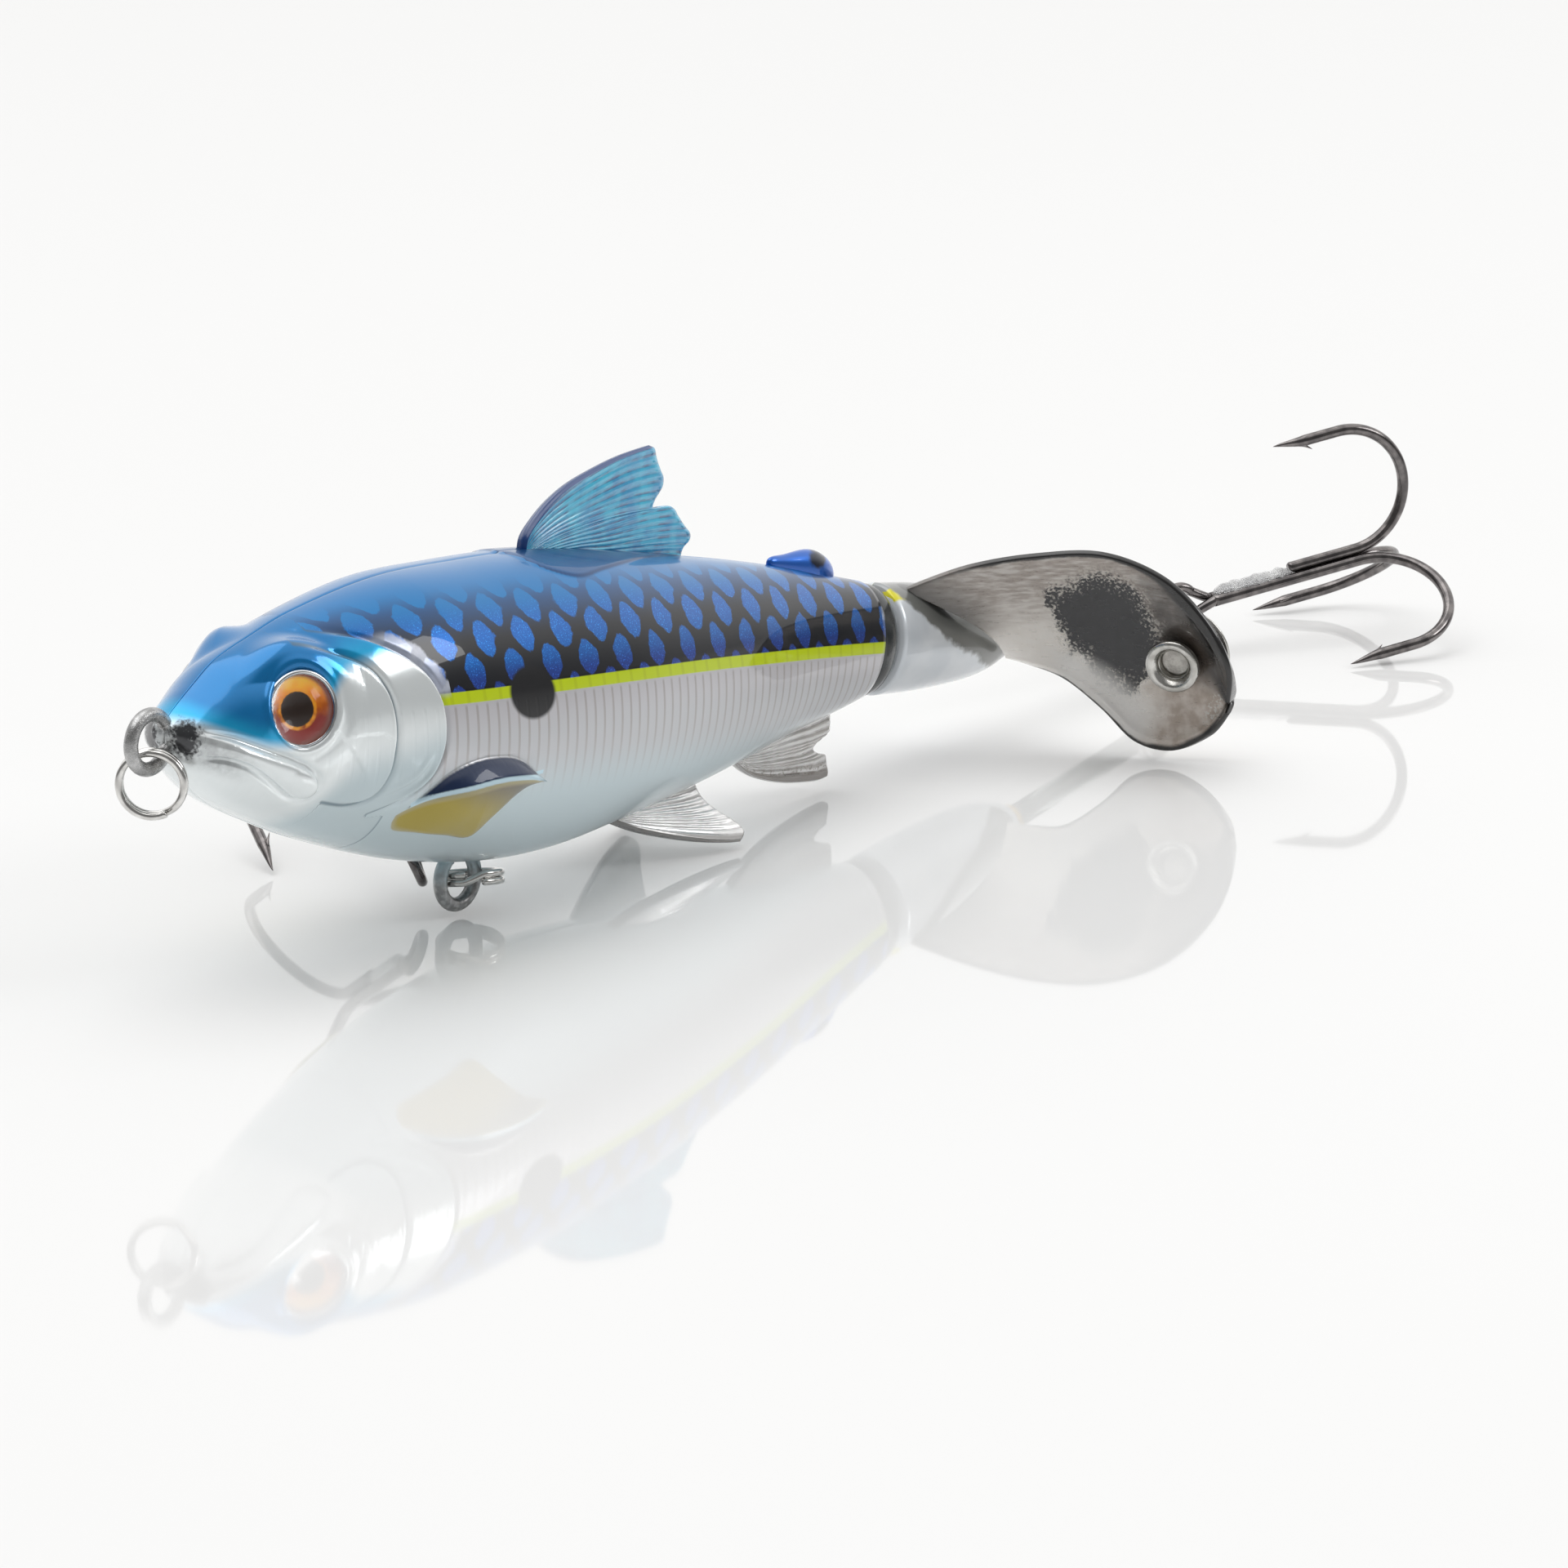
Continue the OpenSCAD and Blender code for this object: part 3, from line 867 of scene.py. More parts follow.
    def breast_fin(
        self, bench: Bench, paint: Socket, on_low: Socket, on_top: Socket
    ) -> Socket:
        """Adds the breast fin's olive face, its navy top and its light rim.

        Args:
            bench: The material's bench.
            paint: The colour so far.
            on_low: The distance inside the fin's lower face.
            on_top: The distance inside its upper face.

        Returns:
            The colour with the fin.
        """
        under = bench.mix(bench.step(bench.field("fin_tip"), 0.35, 1.0), self.olive, (0.21, 0.185, 0.13))
        under = bench.mix(bench.step(on_low, 0.7, 0.0), under, (0.50, 0.46, 0.28))
        paint = bench.mix(bench.step(on_low, -0.02, 0.12), paint, under)
        paint = bench.mix(bench.step(on_top, -0.02, 0.12), paint, self.navy)
        return bench.mix(bench.step(bench.field("fin_rim"), 0.26, 0.12), paint, (0.62, 0.82, 0.92))

    def lay(self, bench: Bench) -> bpy.types.Material:
        """Lays the colours over one another: the flank, the spot, the saddle, the head and the fin.

        Args:
            bench: The material's bench.

        Returns:
            The dressed material.
        """
        up, gill, crown = bench.field("up"), bench.field("gill"), bench.field("crown")
        fin_top, fin_low, saddle = bench.field("fin_top"), bench.field("fin_low"), bench.field("saddle")
        scale = self.net(bench, up)
        below_line = bench.times(bench.step(up, -11.5, -3.0), bench.step(up, -0.6, -1.0))
        ribs = bench.times(self.ribs(bench), below_line, 0.55)
        spot = self.spot_share(bench, up)
        paint = bench.mix(spot, self.flank(bench, up, scale, ribs), (0.006, 0.006, 0.008))
        paint = bench.mix(bench.step(saddle, -0.08, 0.10), paint, self.saddle)
        seam = bench.times(bench.step(saddle, 0.4, 0.1), bench.step(saddle, -0.2, 0.05), 0.6)
        paint = bench.mix(seam, paint, self.saddle_seam)
        behind = bench.step(gill, -0.08, 0.08)
        paint = bench.mix(behind, self.head(bench, crown, bench.field("cheek"), gill), paint)
        paint = self.shoulder(bench, paint, gill, behind)
        paint = self.breast_fin(bench, paint, fin_low, fin_top)

        on_head = bench.sum("SUBTRACT", 1.0, behind)
        below_roof = bench.sum("SUBTRACT", 1.0, bench.step(up, *self.line_roof))
        on_line = bench.times(bench.step(up, *self.line_foot), below_roof)
        shine = bench.blend(bench.step(up, 0.7, 0.9), 0.42, bench.blend(scale, 0.05, 0.55))
        shine = bench.blend(bench.step(up, 8.0, 12.0), shine, 0.62)
        shine = bench.blend(bench.sum("MAXIMUM", on_line, spot), shine, 0.0)
        shine = bench.blend(on_head, shine, bench.blend(bench.step(crown, -5.0, -9.0), 0.42, 0.15))
        fin = bench.sum("MAXIMUM", bench.step(fin_low, -0.02, 0.1), bench.step(fin_top, -0.02, 0.1))
        shine = bench.blend(fin, shine, 0.1)
        relief = bench.sum("ADD", bench.times(ribs, -0.6), bench.times(bench.noise(0.7, 2), 0.25))
        bench.bump(relief, 0.05, 0.6)
        return bench.dress(
            Base_Color=paint,
            Metallic=shine,
            Roughness=bench.blend(on_head, 0.33, 0.17),
            Specular_IOR_Level=0.25,
            Coat_Weight=0.8,
            Coat_Roughness=0.03,
            Coat_IOR=1.45,
        )


@dataclass(frozen=True)
class IrisFoil(Finish):
    """The printed disc of the eye: amber above, dark red below, a bright edge round the pupil, and a faint
    painted glow.
    """

    pupil_r: float = 1.3
    centre_height: float = 1.1

    def lay(self, bench: Bench) -> bpy.types.Material:
        """Colours the disc by its radius and by the height on it.

        Args:
            bench: The material's bench.

        Returns:
            The dressed material.
        """
        out = bench.field("out")
        height = bench.sum("SUBTRACT", bench.z, self.centre_height)
        drift = bench.times(bench.sum("SUBTRACT", bench.noise(1.4, 4), 0.5), 1.6)
        level = bench.sum("ADD", height, drift)
        iris = bench.mix(bench.step(level, -1.4, 1.2), (0.26, 0.008, 0.002), (0.92, 0.27, 0.002))
        iris = bench.mix(bench.step(level, 0.7, 2.2), iris, (1.0, 0.52, 0.006))
        iris = bench.mix(bench.step(out, 2.35, 2.85), iris, (0.20, 0.03, 0.01))
        edge = bench.step(out, self.pupil_r + 0.42, self.pupil_r + 0.2)
        iris = bench.mix(bench.times(edge, bench.step(drift, -0.5, 0.3)), iris, (0.90, 0.36, 0.02))
        iris = bench.mix(bench.step(out, self.pupil_r + 0.12, self.pupil_r), iris, (0.018, 0.008, 0.005))
        bright = bench.vector("MULTIPLY", iris, (1.1, 1.1, 1.1))
        # the disc also glows faintly in its own colours: a painted glow that lifts it under the clear dome
        return bench.dress(
            Base_Color=bright,
            Roughness=0.45,
            Specular_IOR_Level=0.12,
            Emission_Color=iris,
            Emission_Strength=0.30,
        )


@dataclass(frozen=True)
class RayedFin(Finish):
    """Clear moulded fin plastic that is darker along its leading edge and between its rays."""

    colour: Colour = (0.5, 0.5, 0.5)
    dark: Colour = (0.2, 0.2, 0.2)
    glow: Colour = (0.8, 0.8, 0.8)
    clear: float = 0.6
    roughness: float = 0.22
    speckle: float = 0.0
    edge_mm: float = 1.0

    def lay(self, bench: Bench) -> bpy.types.Material:
        """Reads the distance from the leading edge and the height of the rays.

        Args:
            bench: The material's bench.

        Returns:
            The dressed material.
        """
        lead, ray = bench.field("lead"), bench.field("ray")
        tone = bench.mix(bench.step(bench.noise(0.45, 3), 0.3, 0.7), self.colour, self.glow)
        patchy = bench.blend(bench.step(bench.noise(0.5, 2), 0.35, 0.65), 0.15, 0.8)
        tone = bench.mix(bench.times(bench.step(ray, 0.40, 0.05), patchy), tone, self.dark)
        spots = bench.times(bench.step(bench.noise(3.5, 3), 0.50, 0.62), self.speckle)
        dusted = bench.times(spots, bench.step(lead, 2.6, 0.9))
        edge = bench.sum("MAXIMUM", bench.step(lead, self.edge_mm * 1.3, self.edge_mm * 0.6), dusted)
        tone = bench.mix(edge, tone, self.dark)
        bench.bump(bench.noise(2.5, 3, (0.5, 1, 1)), 0.03)
        return bench.dress(
            Base_Color=tone,
            Roughness=self.roughness,
            Transmission_Weight=bench.blend(edge, self.clear, self.clear * 0.45),
            IOR=1.49,
            Coat_Weight=0.6,
            Coat_Roughness=0.06,
        )


@dataclass(frozen=True)
class ConePaint(Finish):
    """Pearl paint with one yellow dash, a grey crown and a bare clear band beside the blade's root."""

    def lay(self, bench: Bench) -> bpy.types.Material:
        """Reads the distance to the blade's root and the place on the cone.

        Args:
            bench: The material's bench.

        Returns:
            The dressed material.
        """
        root, along, turn = bench.field("root"), bench.field("along"), bench.field("turn")
        ragged = bench.sum("ADD", root, bench.times(bench.sum("SUBTRACT", bench.noise(0.7, 3), 0.5), 1.5))
        bare = bench.step(ragged, 2.9, 2.2)
        top = bench.step(turn, 0.62, 0.30)
        drift = bench.step(bench.noise(0.25, 2), 0.3, 0.7)
        paint = bench.mix(drift, (0.70, 0.75, 0.80), (0.82, 0.86, 0.90))
        paint = bench.mix(top, paint, (0.36, 0.38, 0.39))
        wide = bench.times(bench.step(turn, 0.26, 0.30), bench.step(turn, 0.60, 0.54))
        dash = bench.times(wide, bench.step(along, 8.9, 8.3))
        paint = bench.mix(dash, paint, (0.80, 0.74, 0.0))
        paint = bench.mix(bare, paint, (0.15, 0.155, 0.145))
        paint = bench.mix(bench.step(root, 1.0, 0.7), paint, (0.05, 0.052, 0.05))
        return bench.dress(
            Base_Color=paint,
            Metallic=bench.blend(bare, 0.25, 0.0),
            Roughness=0.3,
            Coat_Weight=1.0,
            Coat_Roughness=0.04,
        )


@dataclass(frozen=True)
class SmokeBlade(Finish):
    """Smoke plastic blade: satin streaks by the root, a dark pool of painted reflection, a painted highlight
    along the lower edge, rubbed tan and a black rim.
    """

    reflection_at: tuple[float, float] = (0.43, 0.50)
    reflection_tight: tuple[float, float] = (6.6, 2.7)
    frost_at: tuple[float, float] = (0.90, 0.66)
    frost_tight: tuple[float, float] = (7.5, 4.0)

    def away(
        self, bench: Bench, u: object, v: object, at: tuple[float, float], tight: tuple[float, float]
    ) -> Socket:
        """The squared distance from a place on the blade.

        Args:
            bench: The material's bench.
            u: The share along the blade.
            v: The share across it.
            at: The place's own two shares.
            tight: How fast the distance grows along and across.

        Returns:
            The squared distance.
        """
        along = bench.times(bench.sum("SUBTRACT", u, at[0]), tight[0])
        across = bench.times(bench.sum("SUBTRACT", v, at[1]), tight[1])
        return bench.sum("ADD", bench.times(along, along), bench.times(across, across))

    def lay(self, bench: Bench) -> bpy.types.Material:
        """Reads the place along and across the blade and the distance to its edge.

        Args:
            bench: The material's bench.

        Returns:
            The dressed material.
        """
        u, v, edge = bench.field("u"), bench.field("v"), bench.field("edge")
        warp = bench.times(bench.sum("SUBTRACT", bench.noise(0.35, 4), 0.5), 0.22)
        along = bench.sum("ADD", u, warp)
        fine = bench.noise(3.2, 4)
        grit = bench.step(fine, 0.50, 0.60)
        streak = bench.noise(1.6, 3, (0.35, 0.35, 1.6))

        # satin streaks, dark at the upper root and light towards the lower edge
        low = bench.step(bench.sum("ADD", v, warp), 0.25, 0.70)
        satin = bench.mix(low, (0.44, 0.38, 0.34), (0.97, 0.92, 0.86))
        satin = bench.mix(bench.times(bench.step(streak, 0.40, 0.70), 0.5), satin, (1.0, 0.97, 0.92))
        root = bench.times(bench.step(u, 0.16, 0.0), bench.step(v, 0.75, 0.3))
        satin = bench.mix(root, satin, (0.16, 0.15, 0.14))

        # rubbed tan towards the tip, shadowed above, with frost below the rivet
        rub = bench.step(bench.noise(0.8, 3), 0.3, 0.7)
        tan = bench.mix(rub, (0.52, 0.43, 0.36), (0.80, 0.72, 0.65))
        tan = bench.mix(bench.times(bench.step(v, 0.62, 0.30), 0.75), tan, (0.17, 0.125, 0.10))
        skin = bench.mix(bench.step(along, 0.55, 0.66), satin, tan)
        shadow = bench.times(bench.step(along, 0.44, 0.62), bench.step(v, 0.60, 0.30))
        skin = bench.mix(bench.times(shadow, 0.85), skin, (0.035, 0.028, 0.024))
        frost = bench.step(self.away(bench, u, v, self.frost_at, self.frost_tight), 1.0, 0.4)
        skin = bench.mix(bench.times(frost, grit, 0.8), skin, (0.82, 0.80, 0.76))

        # the dark pool, a painted reflection; the sparkle round it; and the light flare along the lower edge,
        # a painted highlight
        uneven = bench.times(bench.sum("SUBTRACT", fine, 0.5), 1.3)
        # painted reflection: a dark pool in the middle of the blade
        out = bench.sum("ADD", self.away(bench, along, v, self.reflection_at, self.reflection_tight), uneven)
        dark_reflection = bench.step(out, 1.15, 0.75)
        skin = bench.mix(dark_reflection, skin, (0.020, 0.020, 0.024))
        sparkle = bench.times(bench.step(out, 0.5, 1.0), bench.step(out, 1.9, 1.2), grit)
        skin = bench.mix(bench.times(sparkle, 0.75), skin, (0.66, 0.62, 0.56))
        # painted highlight: a near-white band along the lower inner edge
        flare = bench.times(bench.step(v, 0.70, 0.86), bench.step(u, 0.22, 0.32), bench.step(u, 0.66, 0.54))
        skin = bench.mix(bench.times(flare, 0.85), skin, (0.97, 0.95, 0.92))

        # the rim, wide and black round the upper tip
        band = bench.blend(bench.step(v, 0.60, 0.25), 0.8, 3.6)
        band = bench.blend(bench.step(u, 0.50, 0.80), 0.34, band)
        rim = bench.sum("DIVIDE", bench.sum("ADD", edge, bench.times(warp, 3.0)), band)
        rim = bench.times(bench.step(rim, 1.25, 0.45), bench.step(u, 0.02, 0.2))
        skin = bench.mix(rim, skin, (0.012, 0.011, 0.011))
        bench.bump(bench.sum("ADD", bench.times(streak, 0.5), bench.times(fine, 0.25)), 0.06, 0.5)
        return bench.dress(
            Base_Color=skin,
            Metallic=bench.blend(bench.sum("MAXIMUM", dark_reflection, rim), 0.12, 0.1),
            Roughness=bench.blend(streak, 0.20, 0.40),
            Transmission_Weight=0.12,
            IOR=1.5,
            Coat_Weight=0.8,
            Coat_Roughness=0.05,
        )


@dataclass(frozen=True)
class BumpPaint(Finish):
    """The small bump on the back: candy blue with a dark heart."""

    def lay(self, bench: Bench) -> bpy.types.Material:
        """Darkens the middle of each side.

        Args:
            bench: The material's bench.

        Returns:
            The dressed material.
        """
        dx = bench.times(bench.sum("SUBTRACT", bench.x, 98.3), 0.62)
        dz = bench.sum("ADD", bench.z, 2.6)
        r = bench.sum("ADD", bench.times(dx, dx), bench.times(dz, dz))
        heart = bench.step(bench.sum("ADD", r, bench.times(bench.noise(1.6, 3), 0.8)), 1.5, 0.7)
        paint = bench.mix(heart, (0.008, 0.135, 0.60), (0.004, 0.01, 0.03))
        return bench.dress(
            Base_Color=paint,
            Metallic=0.6,
            Roughness=0.3,
            Coat_Weight=1.0,
            Coat_Roughness=0.03,
        )


@dataclass(frozen=True)
class OversprayWire(Finish):
    """Satin wire with body paint blown over its upper end."""

    def lay(self, bench: Bench) -> bpy.types.Material:
        """Fades from paint at the belly to bare metal.

        Args:
            bench: The material's bench.

        Returns:
            The dressed material.
        """
        ragged = bench.sum("ADD", bench.z, bench.times(bench.noise(1.2, 3), 2.2))
        paint = bench.step(ragged, -22.4, -19.8)
        worn = bench.step(bench.noise(2.0, 4), 0.35, 0.7)
        bare = bench.mix(worn, (0.30, 0.30, 0.30), (0.50, 0.50, 0.50))
        bench.bump(bench.noise(6.0, 3), 0.02)
        return bench.dress(
            Base_Color=bench.mix(paint, bare, (0.50, 0.60, 0.64)),
            Metallic=bench.blend(paint, 1.0, 0.3),
            Roughness=bench.blend(paint, 0.34, 0.30),
        )


@dataclass(frozen=True)
class GlossFloor(Finish):
    """A white glossy table."""

    def lay(self, bench: Bench) -> bpy.types.Material:
        """White with a very faint unevenness.

        Args:
            bench: The material's bench.

        Returns:
            The dressed material.
        """
        tone = bench.mix(bench.noise(0.004, 2), (0.91, 0.91, 0.905), (0.93, 0.93, 0.93))
        return bench.dress(Base_Color=tone, Roughness=0.035, IOR=1.34)


SHELL_PAINT = ShellPaint("shell_paint")
IRIS = IrisFoil("iris_foil")
EYE_CLEAR = Moulded("eye_clear", (1.0, 1.0, 1.0), (0.98, 0.99, 0.99), 0.004, 1.0, 1.36)
EYE_RIM = Metal("eye_rim_foil", (0.78, 0.80, 0.80), (0.62, 0.64, 0.66), 0.18)
TURQUOISE = RayedFin(
    "fin_turquoise", (0.004, 0.34, 0.68), (0.003, 0.05, 0.22), (0.03, 0.62, 0.90), 0.12, 0.26, edge_mm=0.45
)
CLEAR_FIN = RayedFin(
    "fin_clear", (0.78, 0.76, 0.74), (0.13, 0.11, 0.095), (0.92, 0.91, 0.89), 0.55, 0.20
)
SPECKLED_FIN = RayedFin(
    "fin_clear_speckled", (0.78, 0.75, 0.72), (0.15, 0.12, 0.10), (0.90, 0.88, 0.86), 0.55, 0.20, speckle=0.9
)
SATIN_WIRE = Metal("satin_wire", (0.56, 0.56, 0.56), (0.34, 0.34, 0.34), 0.30, 0.03)
HANGER_WIRE = OversprayWire("hanger_wire")
BRIGHT_NICKEL = Metal("bright_nickel", (0.80, 0.79, 0.77), (0.62, 0.61, 0.59), 0.13)
RIVET_NICKEL = Metal("rivet_nickel", (0.72, 0.71, 0.68), (0.50, 0.49, 0.46), 0.17, 0.01)
DULL_NICKEL = Metal("dull_nickel", (0.66, 0.64, 0.60), (0.48, 0.46, 0.43), 0.45, 0.03)
BLACK_NICKEL = Metal("black_nickel", (0.27, 0.25, 0.245), (0.15, 0.14, 0.14), 0.15)
TIN = Metal("tin_braze", (0.97, 0.97, 0.97), (0.74, 0.74, 0.75), 0.24, 0.30)
COLLAR_SMOKE = Moulded("collar_smoke", (0.050, 0.056, 0.058), (0.022, 0.025, 0.027), 0.16)
CONE = ConePaint("cone_paint")
BLADE = SmokeBlade("blade_smoke")
BUMP = BumpPaint("bump_paint")
CLEAR_TUBE = Moulded("tube_clear", (0.86, 0.90, 0.88), (0.80, 0.85, 0.83), 0.08, 0.85)
BRASS = Metal("bearing_brass", (0.80, 0.58, 0.24), (0.60, 0.41, 0.16), 0.28, 0.02)
CAST = Metal("ballast_metal", (0.40, 0.41, 0.42), (0.26, 0.27, 0.28), 0.5, 0.15)
BALL_STEEL = Metal("ball_steel", (0.72, 0.73, 0.74), (0.60, 0.61, 0.62), 0.12)


# ---------------------------------------------------------------------------- the bait


@dataclass
class Shells:
    """The two painted shells, with the head's plates, the jaw and the breast fins raised on them."""

    line: np.ndarray = field(
        default_factory=lambda: np.array(
            [
                [2, 26.3, 1, 1.3], [3.2, 25.6, 2.65, 3.3], [6, 24.9, 5.1, 5], [9.3, 24.7, 7.1, 6.3],
                [14, 24.1, 8.9, 7.6], [20, 23.3, 10.9, 9], [32, 21.5, 13.6, 10.8], [43.7, 19.7, 14.6, 11.4],
                [53.4, 18.7, 14.5, 11.3], [63.3, 17.9, 13.35, 10.6], [79.7, 16.4, 10.8, 8.4],
                [92.6, 15.2, 8.35, 6.1], [101.2, 14.1, 6.7, 4.8], [104.5, 13.75, 6, 4.4],
            ]
        )
    )
    end: float = 104.5
    lean_from: float = 76.0
    head_taper: float = 0.28
    side_line: tuple = (
        (20, 26.4), (31.5, 25), (45.2, 23.4), (60.5, 21.4), (78.1, 18.6), (103.9, 13.8), (106, 13.4),
    )
    gill_edge: tuple = (
        (18.6, 33.2), (22.1, 32.3), (24.8, 31), (27.1, 29.4), (28.7, 27.6), (29.6, 25.4), (29.8, 23.2),
        (29.6, 21), (28.9, 19.2), (27.6, 17.7), (25.4, 16.4), (22, 15.4),
    )
    cheek_edge: tuple = (
        (15.2, 31.8), (18.1, 31.4), (20.5, 30.6), (22.2, 29.2), (23.3, 27.2), (23.7, 24.8), (23.6, 22),
        (23.2, 19.4), (21.9, 17.4), (19.4, 16.9), (16.3, 17.8),
    )
    colour_change: tuple = (
        (2, 26.9), (3.6, 26.6), (5.6, 25.6), (7.8, 24.5), (10, 23.7), (12.8, 23.6),
        (15.5, 25.3), (17.2, 27.2), (18.8, 28.5), (20.9, 29.1), (24.3, 29.3), (31, 30.4),
    )
    lip: tuple = (
        (3, 26.6), (5.6, 25.7), (7.8, 24.6), (10, 23.5), (12.2, 22.4), (14.1, 21.2), (15.1, 20.1),
        (15.1, 19.1), (14.2, 18.6), (12.9, 19), (11.4, 20.1), (9.6, 21.6), (7.7, 23), (5.6, 24), (3, 24.7),
    )
    fin_line: tuple = (
        (25.4, 14.7), (28.3, 16.2), (31.7, 16.85), (35.7, 16.85), (39.7, 16.25), (42.3, 15.4),
    )
    fin_roof: tuple = (
        (26.2, 15.3), (28.5, 16.9), (30.8, 18.1), (34, 18.6), (37.7, 18.2), (40.2, 17.2), (42.3, 15.5),
    )
    fin_foot: tuple = (
        (25.4, 13.9), (26.2, 12.9), (28.8, 12.2), (32.4, 11.3),
        (35.7, 10.45), (37.5, 12.3), (40, 14.5), (42.3, 15.3),
    )
    saddle_edge: tuple = (
        (50.4, 0), (50.9, 2.6), (51.9, 4.6), (55.4, 5.8), (60.3, 4.9),
        (64.7, 3.8), (68.8, 2.6), (73.5, 1.4), (78.2, 0.2),
    )
    eye_at: tuple = EYE_AT
    eye_out: tuple = EYE_OUT
    socket_r: float = 3.42
    socket_depth: float = 2.4
    rows_front: int = 290
    rows_rear: int = 130
    columns: int = 200

    def surface(self) -> tuple[np.ndarray, np.ndarray, np.ndarray]:
        """The smooth left side.

        Returns:
            Its points, its outward normals, and the distance of each point above the side line.
        """
        front = np.linspace(2.0, 45.0, self.rows_front, endpoint=False)
        xs = np.concatenate([front, np.linspace(45.0, self.end, self.rows_rear)])
        phi = np.radians(np.linspace(90, -90, self.columns))[None]
        middle, half, wide = (table_value(self.line, xs, c)[:, None] for c in (1, 2, 3))
        lean = SHAFT_TILT * np.clip(xs - self.lean_from, 0, None)[:, None] / (self.end - self.lean_from)
        rise = half * np.sin(phi)
        crown = np.where(phi > 0, self.head_taper * np.clip((34 - xs[:, None]) / 28, 0, 1), 0)
        across = -wide * np.cos(phi).clip(0) ** (0.92 + crown)
        points = np.stack([xs[:, None] + rise * np.sin(lean), across, middle + rise * np.cos(lean)], -1)
        down_rows, down_cols = np.gradient(points, axis=0), np.gradient(points, axis=1)
        normal = np.cross(down_cols, down_rows)
        normal /= np.linalg.norm(normal, axis=-1)[..., None].clip(1e-9)
        outward = points - np.stack([xs, 0 * xs, middle[:, 0]], -1)[:, None]
        normal *= np.sign((normal * outward).sum(-1))[..., None]
        steps = np.linalg.norm(np.diff(points, axis=1), axis=-1)
        arc = np.concatenate([np.zeros((len(xs), 1)), np.cumsum(steps, axis=1)], 1)
        bright = curve_through(self.side_line, 80)
        level = np.interp(xs, bright[:, 0], bright[:, 1])
        cut = np.array([np.interp(-z, -row[:, 2], s) for z, row, s in zip(level, points, arc)])
        return points, normal, cut[:, None] - arc

    def relief(self, points: np.ndarray) -> tuple[np.ndarray, dict[str, np.ndarray]]:
        """The raised and sunk detail.

        Args:
            points: Points of the smooth left side.

        Returns:
            How far each point stands proud, and the values that the paint reads.
        """
        flat = points[..., [0, 2]]
        height = np.zeros(points.shape[:2])
        values: dict[str, np.ndarray] = {}
        for name, edge, rise in (("gill", self.gill_edge, 0.55), ("cheek", self.cheek_edge, 0.34)):
            at = beside(flat, curve_through(edge, 60))
            ends = ease(at.place, 0.0, 0.16) * ease(at.place, 1.0, 0.82)
            signed = at.distance * at.side
            plate = np.where(signed < 0, ease(-signed, 0.0, 0.45) * np.exp(signed / 5.5), 0.0)
            groove = np.exp(-(((signed - 0.10) / 0.30) ** 2)) * 0.30
            height += (rise * plate - groove) * ends
            values[name] = np.where((at.place > 0.001) & (at.place < 0.999), signed, -at.distance)
        # inside the plate, low on the cheek, short folds follow the gill edge
        edge = beside(flat, curve_through(self.gill_edge, 60))
        low = ease(edge.place, 0.66, 0.80) * ease(edge.place, 0.99, 0.9)
        height += 0.12 * low * np.sin(edge.distance * 4.2) * ease(edge.distance, 2.6, 1.6) * (edge.side < 0)
        # past the ends of the gill edge the distance is set by the place along the body
        values["gill"] = np.where(points[..., 0] > 31.0, 5.0, values["gill"])
        throat = (points[..., 0] > 18) & (points[..., 2] < 15)
        values["gill"] = np.where(throat, points[..., 0] - 24.0, values["gill"])
        depth = inside_depth(flat, curve_through((*self.lip, self.lip[0]), 90))
        round_in = np.clip(depth / 1.15, 0, 1)
        height += 0.80 * np.sqrt(round_in * (2 - round_in)) * ease(points[..., 0], 2.6, 7.5)
        height -= 0.30 * np.exp(-(((depth + 0.30) / 0.30) ** 2)) * ease(points[..., 0], 2.4, 5.0)
        change = curve_through(self.colour_change, 50)
        values["crown"] = points[..., 2] - np.interp(points[..., 0], change[:, 0], change[:, 1])
        saddle = curve_through(self.saddle_edge, 60)
        reach = np.interp(points[..., 0], saddle[:, 0], saddle[:, 1], left=-3.0, right=-3.0)
        values["saddle"] = np.where(points[..., 2] > 26, reach + points[..., 1], -5.0)
        height += 0.16 * ease(values["saddle"], -0.1, 0.25)
        height += self.breast_fin(points, values)
        radial = points - np.asarray(self.eye_at)
        axial = radial @ np.asarray(self.eye_out)
        rho = np.linalg.norm(radial - axial[..., None] * np.asarray(self.eye_out), axis=-1)
        near = points[..., 0] < 24
        short = np.clip(-axial - 0.10, 0.0, 2.2) * ease(rho, 7.2, 3.7)
        height += near * short / np.clip(self.facing(points), 0.6, 1.0)
        height += near * 0.20 * np.exp(-(((rho - self.socket_r - 0.50) / 0.36) ** 2))
        height -= near * self.socket_depth * ease(rho, self.socket_r + 0.06, self.socket_r - 0.16)
        return height, values

    def facing(self, points: np.ndarray) -> np.ndarray:
        """How squarely the side round the eye looks along the eye's own direction.

        Args:
            points: Points of the smooth left side.

        Returns:
            1 where the side looks the same way as the eye.
        """
        rise = (points[..., 2] - 24) * 0.1
        out = np.stack([0 * rise - 0.25, 0 * rise - 0.9, rise], -1)
        return (out / np.linalg.norm(out, axis=-1)[..., None]) @ unit(np.asarray(self.eye_out))

